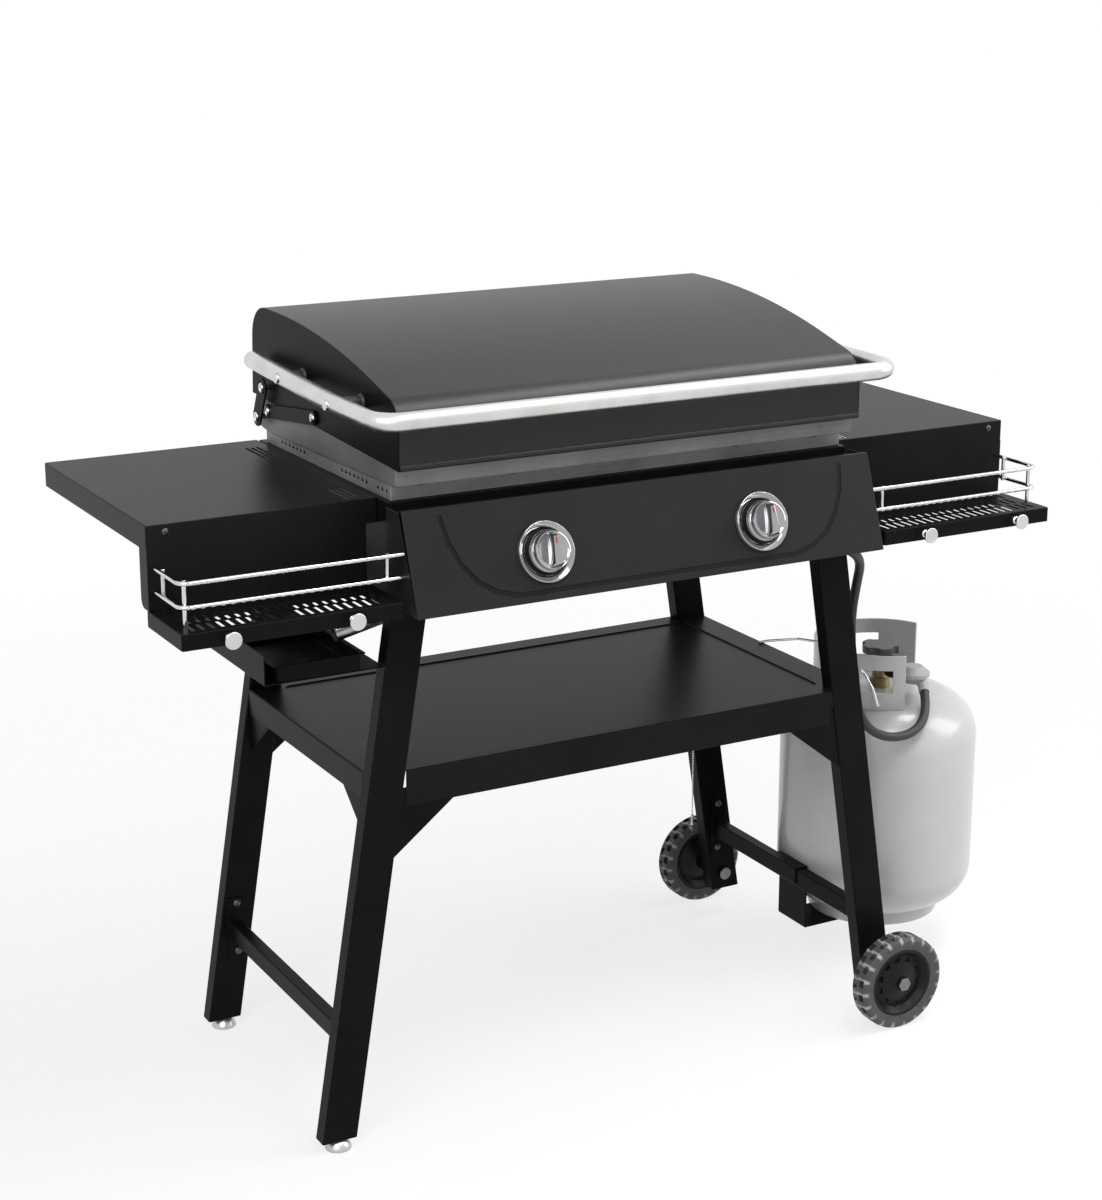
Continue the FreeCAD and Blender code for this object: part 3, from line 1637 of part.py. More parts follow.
def along_outlet(reach, rise=0):
    """A point on the outlet's axis."""
    way = outlet_way()
    return (S.tank_x + way[0] * reach, S.tank_y + way[1] * reach, S.valve_height + rise)


def cylinder_valve():
    """The valve body on the cylinder's neck, with its outlet."""
    neck = rod("neck", (S.tank_x, S.tank_y, S.tank_top - 1), (0, 0, 1), "16", "16")
    above = (S.tank_x, S.tank_y, S.tank_top + 10)
    trunk = rod("trunk", above, (0, 0, 1), "12", "wheel_height - tank_top - 14")
    outlet = rod("outlet", along_outlet(0), outlet_way(), "10", "40")
    tank = tank_form("valve_seat", 0)
    solid = join("valve_solid", [neck, trunk, outlet])
    shaft = rod("stem_way", (S.tank_x, S.tank_y, S.wheel_height - 20), (0, 0, 1), "4.05", "40")
    keep(subtract("cylinder_valve", solid, join("valve_cuts", [tank, shaft])), "cylinder_valve")


def valve_handwheel():
    """The lobed handwheel of the cylinder's valve."""
    body = start("valve_handwheel")
    lobes = []
    for i in range(5):
        angle = 2 * math.pi * i / 5
        lobes += disc(34 * math.cos(angle), 34 * math.sin(angle), 10)
    pad(body, "XY_Plane", disc(0, 0, 30), 0, "12")
    cut(body, "XY_Plane", lobes, -1, "20")
    pad(body, "XY_Plane", disc(0, 0, 4), -14, "16")
    keep(place(body, S.tank_x, S.tank_y, S.wheel_height - 2), "valve_handwheel")


def coupling_nut():
    """The hand-tightened nut on the valve's outlet."""
    body = start("coupling_nut")
    teeth = disc(0, 0, 17) + disc(0, 0, 10.05)
    pad(body, "XY_Plane", teeth, 0, "19.5")
    notches = []
    for i in range(10):
        angle = 2 * math.pi * i / 10
        notches += disc(18.5 * math.cos(angle), 18.5 * math.sin(angle), 3)
    cut(body, "XY_Plane", notches, -1, "24")
    keep(aim(body, along_outlet(22), outlet_way()), "coupling_nut")


def regulator():
    """The regulator: a flanged drum beyond the coupling, with the hose fitting below it."""
    body = start("drum")
    curves = rounded(
        [(0, -13), (18, -13), (22, -6), (26, -3), (26, 3), (22, 6), (14, 13), (0, 13)],
        [0, 3, 0, 0, 0, 0, 4, 0],
    )
    turn(body, curves)
    place(body, *along_outlet(68))
    inlet = rod("inlet", along_outlet(40.3), outlet_way(), "8", "14")
    start_point, next_point = V(*HOSE[-1]), V(*HOSE[-2])
    way = (start_point - next_point).normalize()
    centre = V(*along_outlet(68))
    reach = (centre - start_point).Length
    fitting = rod("fitting", tuple(start_point), tuple(way), "8.5", "16")
    bend = start_point + way * 8
    joint = rod("joint", tuple(bend), tuple(centre - bend), "6", f"{reach - 8}")
    keep(join("regulator", [body, inlet, fitting, joint]), "regulator")


def gas_hose():
    """The gas hose from the regulator behind the leg to the manifold."""
    radii = []

    def radius_of(before, after, half):
        radius = 0.45 * min(before, after) * math.tan(half)
        radii.append(radius)
        return radius

    spine = bends(HOSE, radius_of)
    way = V(*HOSE[1]) - V(*HOSE[0])
    section = Part.Wire([Part.Circle(V(*HOSE[0]), way, S.hose_radius).toShape()])
    tube = spine.makePipeShell([section], True, False)
    print("hose radii", [round(r) for r in radii], "length", round(spine.Length))
    print("hose volume", round(tube.Volume), "expected", round(math.pi * S.hose_radius**2 * spine.Length))
    item = doc.addObject("Part::Feature", "gas_hose")
    item.Shape = tube
    keep(item, "gas_hose")


def tank_wire():
    """The hold-down wire from the shelf's edge into the collar's window."""
    keep(bent("tank_wire", WIRE, 6, "tie_radius"), "tank_wire")


def match_chain():
    """The chain with its match clip, hanging beside the rear right leg."""
    spot = (S.chain_across, S.chain_deep, S.clip_bottom)
    line = rod("line", spot, (0, 0, 1), "chain_radius", "shelf_top - shelf_sheet - clip_bottom")
    clip = rod("clip", spot, (0, 0, 1), "chain_radius * 2", "clip_length")
    keep(join("match_chain", [line, clip]), "match_chain")


def build():
    """Makes every piece."""
    for side, name in ((-1, "left"), (1, "right")):
        leg(f"leg_front_{name}", side, -1)
        leg(f"leg_rear_{name}", side, 1)
        crossbar(f"crossbar_{name}", side)
        burner(f"burner_{name}", side)
        valve_stem(f"valve_stem_{name}", side)
        knob(f"knob_{name}", side)
    for end, name in ((-1, "front"), (1, "rear")):
        tyre(f"tyre_{name}", end)
        hub(f"hub_{name}", end)
        foot(f"foot_{name}", end)
    keep(group("leg_fittings", leg_plugs() + leg_mounts()), "leg_fittings")
    axle_bolts()
    cart_bolts()
    lower_shelf()
    shelf_gussets()
    firebox()
    front_rail()
    control_panel()
    knob_bezels()
    gas_valves()
    manifold()
    igniters()
    burner_shield()
    griddle_plate()
    griddle_skirt()
    lid_top()
    lid_ends()
    lid_handle()
    lid_fasteners()
    hinge_bolts()
    front_links()
    rear_links()
    table()
    caddy()
    rails()
    tool_hooks()
    tray_guide()
    drip_tray()
    grease_chute()
    tank_hanger()
    gas_cylinder()
    cylinder_rings()
    cylinder_valve()
    valve_handwheel()
    coupling_nut()
    regulator()
    gas_hose()
    tank_wire()
    match_chain()


def check():
    """Stops on any failed feature, empty shape or pocket that cuts nothing."""
    doc.recompute()
    for item in doc.Objects:
        bad = [state for state in item.State if state in ("Invalid", "Error")]
        if bad:
            print("FAILED", item.Name, item.Label, bad)
    for item in doc.Objects:
        if item.TypeId == "PartDesign::Pocket" and item.BaseFeature:
            if item.Shape.Volume > item.BaseFeature.Shape.Volume - 1e-3:
                print("NO CUT", item.Name)
    for item in NODES:
        if item.Shape.isNull() or not item.Shape.isValid():
            print("BAD SHAPE", item.Label)


def export():
    """Writes each piece with the frame's origin on the floor under the middle of the whole."""
    os.makedirs("parts", exist_ok=True)
    for item in NODES:
        shape = item.Shape.copy()
        shape.translate(V(-S.origin_across, -S.origin_deep, 0))
        shape.exportStep(f"parts/{item.Label}.step")
    print(len(NODES), "pieces")


build()
check()
export()
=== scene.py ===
import itertools
import json
import logging
import math
from dataclasses import dataclass, field, replace
from enum import Enum
from functools import lru_cache
from typing import Any, Iterable, Sequence

import bmesh
import bpy
from mathutils import Matrix, Vector


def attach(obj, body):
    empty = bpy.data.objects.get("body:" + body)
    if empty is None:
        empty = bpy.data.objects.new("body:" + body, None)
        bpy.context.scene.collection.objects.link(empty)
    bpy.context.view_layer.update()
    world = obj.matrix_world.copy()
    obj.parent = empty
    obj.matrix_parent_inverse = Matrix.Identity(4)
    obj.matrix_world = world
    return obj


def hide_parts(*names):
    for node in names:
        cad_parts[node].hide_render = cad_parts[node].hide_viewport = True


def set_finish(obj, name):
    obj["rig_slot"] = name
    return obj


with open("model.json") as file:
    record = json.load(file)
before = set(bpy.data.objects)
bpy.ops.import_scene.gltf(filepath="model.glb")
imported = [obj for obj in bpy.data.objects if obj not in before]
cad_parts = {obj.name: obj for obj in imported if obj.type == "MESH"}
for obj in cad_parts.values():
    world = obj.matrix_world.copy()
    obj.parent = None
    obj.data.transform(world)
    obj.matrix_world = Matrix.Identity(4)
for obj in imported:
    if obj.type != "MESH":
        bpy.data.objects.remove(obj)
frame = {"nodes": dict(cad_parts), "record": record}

LOG = logging.getLogger("griddle_station")
NODES: dict[str, bpy.types.Object] = frame["nodes"]
RECORD: dict[str, Any] = frame["record"]
BODY_OF: dict[str, str] = {node: body for body, nodes in RECORD["behaviour"]["bodies"].items() for node in nodes}
SLOT_OF: dict[str, str] = {part["node"]: part["material_slot"] for part in RECORD["subparts"]}
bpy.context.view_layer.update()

Form = bmesh.types.BMesh
Mesh = bpy.types.Mesh
Item = bpy.types.Object
Point = tuple[float, float, float]
Pair = tuple[float, float]
Colour = tuple[float, float, float]
Options = dict[Any, Any] | None
MILLIMETRE = 0.001
# The frame's origin in millimetres from the point on the floor midway between the four legs.
ORIGIN = (39.3, -15.0, 0.0)
MERGE_DISTANCE = 2e-6
BEVEL_WEIGHT = "bevel_weight_edge"
BEVEL_SEGMENTS = 2
# The shares of a smooth patch's breadth and of an edge's length that a rounding may take.
PATCH_SHARE, EDGE_SHARE = 0.4, 0.8
# Angles in degrees: of faces that are one plane, of edges in one run, of smooth shading, and of the least edge that is
# rounded on sheet and on round stock.
ONE_PLANE, ONE_RUN, SMOOTH, SHEET_EDGE, ROUND_STOCK = 0.4, 50.0, 38.0, 32.0, 40.0
# How far a screw's cross is turned, in radians.
SCREW_TURN = 0.6


class Slot(Enum):
    """The record's material slots that the pieces use."""

    BLACK = "black_paint"
    ZINC = "zinc_steel"
    CHROME = "bright_chrome"
    PLATE = "plate_steel"
    BRASS = "valve_brass"
    CYLINDER = "cylinder_paint"
    TREAD = "tread"
    PLASTIC = "hub_plastic"
    REGULATOR = "regulator_grey"
    HOSE = "hose_rubber"


class Tree:
    """A node tree that is built through one method."""

    prefix: str = "ShaderNode"

    def __init__(self, tree: bpy.types.NodeTree) -> None:
        """Wraps a tree and empties it."""
        self.tree = tree
        tree.nodes.clear()

    def feed(self, socket: bpy.types.NodeSocket, value: Any) -> None:
        """Links a wire to a socket, or sets the socket's own value.

        Args:
            socket: the input to feed.
            value: a Wire, a number, a colour, a vector or a data-block.
        """
        if isinstance(value, Wire):
            self.tree.links.new(value.socket, socket)
            return
        if socket.type == "RGBA" and len(value) == 3:
            value = (*value, 1.0)
        socket.default_value = value

    def node(self, kind: str, inputs: Options = None, settings: Options = None, output: int | str = 0) -> "Wire":
        """Adds a node.

        Args:
            kind: the node's type name, which may leave out the tree's prefix.
            inputs: values or wires by socket name or index.
            settings: its properties, set before its sockets.
            output: the output socket that is returned.

        Returns:
            The wire of that output.
        """
        made = self.tree.nodes.new(kind if "Node" in kind else self.prefix + kind)
        for name, value in (settings or {}).items():
            setattr(made, name, value)
        for name, value in (inputs or {}).items():
            self.feed(made.inputs[name], value)
        return Wire(self, made.outputs[output] if made.outputs else None)


class Wire:
    """A socket that takes part in arithmetic by adding Math nodes."""

    def __init__(self, tree: Tree, socket: bpy.types.NodeSocket | None) -> None:
        """Wraps an output socket of a tree."""
        self.tree = tree
        self.socket = socket

    def maths(self, operation: str, *values: "Wire | float") -> "Wire":
        """The result of a Math node on some values."""
        return self.tree.node("Math", dict(enumerate(values)), {"operation": operation})

    def __add__(self, other: "Wire | float") -> "Wire":
        """Sum."""
        return self.maths("ADD", self, other)

    def __mul__(self, other: "Wire | float") -> "Wire":
        """Product."""
        return self.maths("MULTIPLY", self, other)

    def __sub__(self, other: "Wire | float") -> "Wire":
        """Difference."""
        return self.maths("SUBTRACT", self, other)

    def __rsub__(self, other: float) -> "Wire":
        """Difference from a number."""
        return self.maths("SUBTRACT", other, self)

    def clamped(self) -> "Wire":
        """The value held between zero and one."""
        return self.maths("MINIMUM", self.maths("MAXIMUM", self, 0.0), 1.0)


class ShaderTree(Tree):
    """A material's tree with the few nodes that the finishes share."""

    def place(self, scale: Point = (1.0, 1.0, 1.0)) -> Wire:
        """Object coordinates in metres, scaled for stretched patterns."""
        spot = self.node("TexCoord", output="Object")
        return self.node("Mapping", {"Vector": spot, "Scale": scale})

    def noise(self, place: Wire, scale: float, detail: float = 3.0, rough: float = 0.5) -> Wire:
        """Cloudy noise from zero to one, at a scale in waves per metre."""
        inputs = {"Vector": place, "Scale": scale, "Detail": detail, "Roughness": rough}
        return self.node("TexNoise", inputs, output="Fac")

    def axis(self, place: Wire, name: str) -> Wire:
        """One coordinate of a place."""
        return self.node("SeparateXYZ", {0: place}, output=name)

    def between(self, value: Wire, low: float, high: float) -> Wire:
        """A share of an even rise.

        Args:
            value: what is measured.
            low: where the share is zero, as it is below.
            high: where the share is one, as it is above.

        Returns:
            The share.
        """
        ramp = self.node("ValToRGB", {"Fac": value})
        for stop, position in zip(ramp.socket.node.color_ramp.elements, (low, high)):
            stop.position = position
        return ramp

    def mix(self, share: Wire | float, first: Any, second: Any) -> Wire:
        """A colour between two by a share."""
        settings = {"data_type": "RGBA", "clamp_factor": True}
        return self.node("Mix", {0: share, 6: first, 7: second}, settings, 2)

    def bump(self, height: Wire, depth: float) -> Wire:
        """A normal raised by a height, of a depth in metres."""
        return self.node("Bump", {"Height": height, "Distance": depth})

    def surface(self, inputs: dict[str, Any]) -> None:
        """Ends a material in one principled shader."""
        shader = self.node("BsdfPrincipled", inputs)
        self.node("OutputMaterial", {"Surface": shader})


@dataclass(frozen=True)
class Finish:
    """A surface finish by its name."""

    name: str

    def paint(self, tree: ShaderTree) -> None:
        """Builds the finish's nodes."""
        raise NotImplementedError


@lru_cache(maxsize=None)
def material_of(finish: Finish) -> bpy.types.Material:
    """The Blender material of a finish, made once.

    Args:
        finish: the finish to build.

    Returns:
        Its material.
    """
    made = bpy.data.materials.new(finish.name)
    made.use_nodes = True
    finish.paint(ShaderTree(made.node_tree))
    return made


@dataclass(frozen=True)
class Coating(Finish):
    """Paint, plastic or rubber: a tinted coat with fine grain and faint clouds.

    Colours are linear, grain is in waves per metre and its depth in metres.
    """

    colour: Colour
    dusty: Colour
    roughness: float
    spread: float = 0.1
    specular: float = 0.4
    grain: float = 900.0
    depth: float = 0.00006
    cloud: float = 7.0
    gloss: float = 0.0
    gloss_roughness: float = 0.08

    def paint(self, tree: ShaderTree) -> None:
        """Builds the coat: clouded colour and roughness over a fine grain.

        Args:
            tree: the material's tree.
        """
        place = tree.place()
        cloud = tree.noise(place, self.cloud, detail=4.0, rough=0.6)
        grain = tree.noise(place, self.grain, detail=2.0)
        share = tree.between(cloud * 0.8 + grain * 0.2, low=0.3, high=0.75)
        tree.surface({
            "Base Color": tree.mix(share, self.colour, self.dusty),
            "Roughness": (cloud - 0.5) * self.spread + grain * 0.04 + self.roughness,
            "Specular IOR Level": self.specular,
            "Coat Weight": self.gloss,
            "Coat Roughness": self.gloss_roughness,
            "Normal": tree.bump(grain, self.depth),
        })


@dataclass(frozen=True)
class Metal(Finish):
    """Bare or plated metal with brushed streaks, smudges and faint tarnish.

    The streaks are noise whose scale differs along the three axes.
    """

    colour: Colour = (0.66, 0.66, 0.67)
    tarnish: Colour = (0.5, 0.5, 0.49)
    roughness: float = 0.08
    spread: float = 0.06
    streaks: Point = (90.0, 90.0, 90.0)
    depth: float = 0.00001
    smudge: float = 24.0

    def paint(self, tree: ShaderTree) -> None:
        """Builds the metal: streaks in its bump and roughness, smudges in its colour.

        Args:
            tree: the material's tree.
        """
        streak = tree.noise(tree.place(self.streaks), 1.0, detail=5.0, rough=0.65)
        smudge = tree.noise(tree.place(), self.smudge)
        share = tree.between(smudge, low=0.42, high=0.78)
        tree.surface({
            "Base Color": tree.mix(share, self.colour, self.tarnish),
            "Metallic": 1.0,
            "Roughness": (streak - 0.5) * self.spread + share * 0.05 + self.roughness,
            "Normal": tree.bump(streak, self.depth),
        })


@dataclass(frozen=True)
class Tread(Finish):
    """Tyre rubber with pale marks at the tread blocks' spacing round the rim.

    The axle's place and the radius where the tread starts are in metres, and the fade is the tread's rise per metre.
    """

    axle_across: float
    axle_height: float
    blocks: int = 20
    inner: float = 0.0605
    fade: float = 160.0
    dark: Colour = (0.03, 0.03, 0.0305)
    pale: Colour = (0.36, 0.36, 0.352)
    ring: Colour = (0.085, 0.085, 0.084)

    def paint(self, tree: ShaderTree) -> None:
        """Builds the rubber: cloudy sides, and pale marks at an even spacing round the tread.

        Args:
            tree: the material's tree.
        """
        place = tree.place()
        along = tree.axis(place, "X") - self.axle_across
        up = tree.axis(place, "Z") - self.axle_height
        turn = up.maths("ARCTAN2", up, along)
        beat = up.maths("SINE", turn * self.blocks)
        radius = up.maths("SQRT", up * up + along * along)
        mottle = tree.noise(place, 90.0, detail=4.0, rough=0.6)
        grain = tree.noise(place, 700.0, detail=2.0)
        rim = ((radius - self.inner) * self.fade).clamped()
        marks = tree.between(beat * 0.5 + mottle * 0.6, low=0.55, high=0.82)
        rubber = tree.mix(mottle, self.dark, self.ring)
        tree.surface({
            "Base Color": tree.mix(marks * rim, rubber, self.pale),
            "Roughness": mottle * 0.2 + 0.45,
            "Specular IOR Level": 0.35,
            "Normal": tree.bump(grain, 0.0001),
        })


@dataclass(frozen=True)
class SeasonedSteel(Finish):
    """Rolled steel darkened by heat and oil, with streaks and lighter rubbed places."""

    dark: Colour = (0.11, 0.109, 0.107)
    light: Colour = (0.22, 0.218, 0.214)
    roughness: float = 0.44
    streaks: Point = (9.0, 9.0, 900.0)

    def paint(self, tree: ShaderTree) -> None:
        """Builds the steel from patches, fine streaks and speckle.

        Args:
            tree: the material's tree.
        """
        place = tree.place()
        patch = tree.noise(place, 11.0, detail=6.0, rough=0.62)
        streak = tree.noise(tree.place(self.streaks), 1.0, detail=4.0)
        speckle = tree.noise(place, 700.0, detail=2.0)
        share = tree.between(patch * 0.7 + streak * 0.3, low=0.3, high=0.72)
        tree.surface({
            "Base Color": tree.mix(share, self.dark, self.light),
            "Metallic": 0.4,
            "Roughness": patch * 0.18 + speckle * 0.06 + (self.roughness - 0.1),
            "Normal": tree.bump(speckle, 0.00004),
        })


POWDER = Coating(
    "satin black powder coat", (0.0038, 0.0038, 0.004), (0.007, 0.007, 0.0073),
    roughness=0.34, spread=0.06, specular=0.05,
)
LID_PAINT = Coating(
    "textured lid paint", (0.01, 0.01, 0.0105), (0.016, 0.016, 0.0165),
    roughness=0.36, spread=0.06, specular=0.27, grain=1500.0, depth=0.00012,
)
PANEL_PAINT = Coating(
    "panel paint", (0.013, 0.013, 0.0135), (0.018, 0.018, 0.0185),
    roughness=0.4, spread=0.05, specular=0.12, grain=1300.0, depth=0.00005,
)
# Painted shade: a darker, duller paint for the faces of the panel's pressed groove, where shade falls in the crease.
GROOVE_SHADE = Coating(
    "panel groove painted shade", (0.002, 0.002, 0.0021), (0.004, 0.004, 0.0042),
    roughness=0.5, spread=0.05, specular=0.15,
)
SHELF_PAINT = Coating(
    "shelf paint", (0.006, 0.006, 0.0063), (0.0105, 0.0105, 0.011),
    roughness=0.32, spread=0.03, specular=0.06, grain=1100.0, depth=0.00005,
)
CHROME = Metal("bright chrome")
# Chrome darkened as painted shade: it stands in for the dark surroundings that the knobs and bezels mirror.
SHADED_KNOB_CHROME = Metal("chrome darkened as painted shade", (0.4, 0.4, 0.41), (0.3, 0.3, 0.3))
STAINLESS = Metal(
    "brushed stainless", (0.66, 0.66, 0.65), (0.56, 0.55, 0.53),
    roughness=0.3, spread=0.14, streaks=(14.0, 14.0, 1400.0), depth=0.00002,
)
ZINC = Metal(
    "plated steel", (0.52, 0.52, 0.51), (0.36, 0.36, 0.35),
    roughness=0.34, spread=0.16, streaks=(160.0, 160.0, 160.0), depth=0.00004,
)
DULL_ZINC = replace(ZINC, name="dull plated steel", colour=(0.2, 0.2, 0.2), tarnish=(0.12, 0.12, 0.12), roughness=0.3)
BLACK_OXIDE = Metal(
    "blackened steel", (0.09, 0.09, 0.09), (0.05, 0.05, 0.05),
    roughness=0.4, spread=0.1, streaks=(200.0, 200.0, 200.0), depth=0.00003,
)
BURNER = Metal(
    "burner steel", (0.5, 0.48, 0.45), (0.3, 0.25, 0.2),
    roughness=0.32, spread=0.15, streaks=(30.0, 300.0, 300.0), depth=0.00003,
)
# Brass darkened as painted shade, for the valves that sit in shadow; its tarnish patches are the metal's own.
BRASS = Metal("brass darkened as painted shade", (0.34, 0.25, 0.12), (0.2, 0.15, 0.08), roughness=0.3, spread=0.12)
PLATE = SeasonedSteel("seasoned griddle steel")
SKIRT = SeasonedSteel("bare skirt steel", (0.17, 0.169, 0.166), (0.33, 0.328, 0.322), roughness=0.42)
CYLINDER = Coating(
    "cylinder paint", (0.44, 0.45, 0.45), (0.5, 0.51, 0.51),
    roughness=0.3, spread=0.08, grain=160.0, depth=0.00005, cloud=9.0, gloss=0.35,
)
MOULDED = Coating(
    "moulded black plastic", (0.004, 0.004, 0.0042), (0.009, 0.009, 0.0095),
    roughness=0.36, spread=0.08, specular=0.16, grain=1200.0, depth=0.00008,
)
HANDWHEEL = Coating(
    "handwheel plastic", (0.06, 0.06, 0.061), (0.09, 0.09, 0.092),
    roughness=0.42, specular=0.3, depth=0.0001,
)
CAST_GREY = Coating(
    "cast grey", (0.3, 0.3, 0.31), (0.42, 0.42, 0.43),
    roughness=0.42, spread=0.12, specular=0.5, grain=600.0, depth=0.00012,
)
HOSE_RUBBER = Coating(
    "hose rubber", (0.013, 0.013, 0.0135), (0.024, 0.024, 0.025),
    roughness=0.5, specular=0.45, grain=1500.0, depth=0.0001,
)
RED_MARK = Coating("red mark", (0.45, 0.012, 0.01), (0.5, 0.02, 0.015), roughness=0.35)
CERAMIC = Coating("matt ceramic", (0.7, 0.68, 0.62), (0.6, 0.57, 0.5), roughness=0.6, depth=0.00005)


def patch_breadths(form: Form, marked: set[bmesh.types.BMEdge]) -> dict[bmesh.types.BMFace, float]:
    """How wide each smooth patch of faces is on average.

    Args:
        form: the mesh.
        marked: the sharp edges that part the patches.

    Returns:
        For each face, its patch's area over half the length of the patch's outline, in metres.
    """
    breadths: dict[bmesh.types.BMFace, float] = {}
    for start in form.faces:
        if start in breadths:
            continue
        patch, queue, outline = {start}, [start], 0.0
        while queue:
            for edge in queue.pop().edges:
                if edge in marked or len(edge.link_faces) != 2:
                    outline += edge.calc_length()
                    continue
                for face in edge.link_faces:
                    if face not in patch:
                        patch.add(face)
                        queue.append(face)
        breadth = 2 * sum(face.calc_area() for face in patch) / max(outline, 1e-6)
        breadths.update((face, breadth) for face in patch)
    return breadths


def weigh_edges(form: Form, ease: float, sharp: float) -> None:
    """Marks how far each sharp edge may be rounded.

    Args:
        form: the mesh to mark.
        ease: the widest rounding, in metres.
        sharp: the least angle of a sharp edge, in radians.
    """
    layer = form.edges.layers.float.new(BEVEL_WEIGHT)
    marked = {edge for edge in form.edges if len(edge.link_faces) == 2 and edge.calc_face_angle(0.0) >= sharp}
    breadths = patch_breadths(form, marked)
    room = {edge: min(ease, PATCH_SHARE * min(breadths[face] for face in edge.link_faces)) for edge in marked}
    runs = []
    for vert in form.verts:
        edges = [edge for edge in vert.link_edges if edge in marked]
        for first, second in itertools.combinations(edges, 2):
            ways = [edge.other_vert(vert).co - vert.co for edge in (first, second)]
            turn = math.pi - ways[0].angle(ways[1], math.pi)
            if turn < math.radians(ONE_RUN):
                runs.append((first, second))
            limit = EDGE_SHARE * min(way.length for way in ways) / max(turn, 1e-3)
            for edge in (first, second):
                room[edge] = min(room[edge], limit)
    changed = True
    while changed:
        changed = False
        for first, second in runs:
            least = min(room[first], room[second])
            if max(room[first], room[second]) > least:
                room[first] = room[second] = least
                changed = True
    for edge, width in room.items():
        edge[layer] = width / ease


def smooth_by_angle(mesh: Mesh, angle: float = SMOOTH) -> None:
    """Shades a mesh smooth except across edges sharper than an angle in degrees."""
    mesh.polygons.foreach_set("use_smooth", [True] * len(mesh.polygons))
    mesh.set_sharp_from_angle(angle=math.radians(angle))


def middle(node: str) -> Vector:
    """The middle of a CAD node's box, in metres."""
    corners = [NODES[node].matrix_world @ Vector(corner) for corner in NODES[node].bound_box]
    return sum(corners, Vector()) / len(corners)


def linked(name: str, data: bpy.types.ID) -> Item:
    """Puts a new object in the scene.

    Args:
        name: its name.
        data: its mesh, curve, lamp or camera data.

    Returns:
        The object.
    """
    item = bpy.data.objects.new(name, data)
    bpy.context.scene.collection.objects.link(item)
    return item


def baked(item: Item) -> Mesh:
    """The plain mesh of an object with its modifiers.

    Args:
        item: the object to evaluate, which is then removed.

    Returns:
        A new mesh.
    """
    bpy.context.view_layer.update()
    graph = bpy.context.evaluated_depsgraph_get()
    mesh = bpy.data.meshes.new_from_object(item.evaluated_get(graph), depsgraph=graph)
    bpy.data.objects.remove(item)
    return mesh


def eased(node: str, ease: float, sharp: float) -> Mesh:
    """A CAD node's mesh with its sharp edges rounded as folded or machined metal is.

    Its normals lean to its larger faces, so that flat sheet looks flat beside its folds.

    Args:
        node: the CAD node.
        ease: the widest rounding, in metres.
        sharp: the least angle that is rounded, in degrees.

    Returns:
        The rounded mesh.
    """
    form = bmesh.new()
    form.from_mesh(NODES[node].data)
    bmesh.ops.remove_doubles(form, verts=form.verts, dist=MERGE_DISTANCE)
    bmesh.ops.dissolve_limit(form, angle_limit=math.radians(ONE_PLANE), verts=form.verts, edges=form.edges)
    weigh_edges(form, ease, math.radians(sharp))
    mesh = bpy.data.meshes.new(node)
    form.to_mesh(mesh)
    form.free()
    item = linked("easing", mesh)
    bevel = item.modifiers.new("ease", "BEVEL")
    bevel.limit_method = "WEIGHT"
    bevel.width = ease
    bevel.segments = BEVEL_SEGMENTS
    bevel.use_clamp_overlap = False
    rounded = baked(item)
    smooth_by_angle(rounded)
    item = linked("evening", rounded)
    item.modifiers.new("lean", "WEIGHTED_NORMAL").keep_sharp = True
    made = baked(item)
    bpy.data.meshes.remove(rounded)
    return made


@dataclass
class Assembly:
    """A sub-assembly: its pieces by name."""

    pieces: dict[str, Item] = field(default_factory=dict)

    def add(self, name: str, mesh: Mesh, finish: Finish, slot: Slot, body: str, hidden: Sequence[str] = ()) -> Item:
        """Makes a mesh a piece of the object.

        Args:
            name: the piece's name.
            mesh: its mesh, in the object's frame.
            finish: its finish.
            slot: the record's slot that the finish belongs to.
            body: the body it rides on.
            hidden: CAD nodes that it replaces.

        Returns:
            The piece.
        """
        piece = linked(name, mesh)
        mesh.materials.clear()
        mesh.materials.append(material_of(finish))
        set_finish(piece, slot.value)
        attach(piece, body)
        if hidden:
            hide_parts(*hidden)
        self.pieces[name] = piece
        return piece

    def refine(self, finish: Finish, ease: float, *nodes: str, sharp: float = SHEET_EDGE) -> None:
        """Replaces CAD nodes by their own shapes with rounded edges, in their own slots.

        Args:
            finish: their finish.
            ease: the widest rounding, in metres.
            nodes: the CAD nodes.
            sharp: the least angle that is rounded, in degrees.
        """
        for node in nodes:
            mesh = eased(node, ease, sharp)
            self.add(f"{node}_piece", mesh, finish, Slot(SLOT_OF[node]), BODY_OF[node], [node])

    def coat(self, finish: Finish, *nodes: str) -> None:
        """Gives CAD nodes a finish and leaves their shapes.

        Args:
            finish: their finish.
            nodes: the CAD nodes.
        """
        for node in nodes:
            item = NODES[node]
            item.data.materials.clear()
            item.data.materials.append(material_of(finish))
            self.pieces[node] = item

    def build(self) -> None:
        """Makes the sub-assembly's pieces."""
        raise NotImplementedError


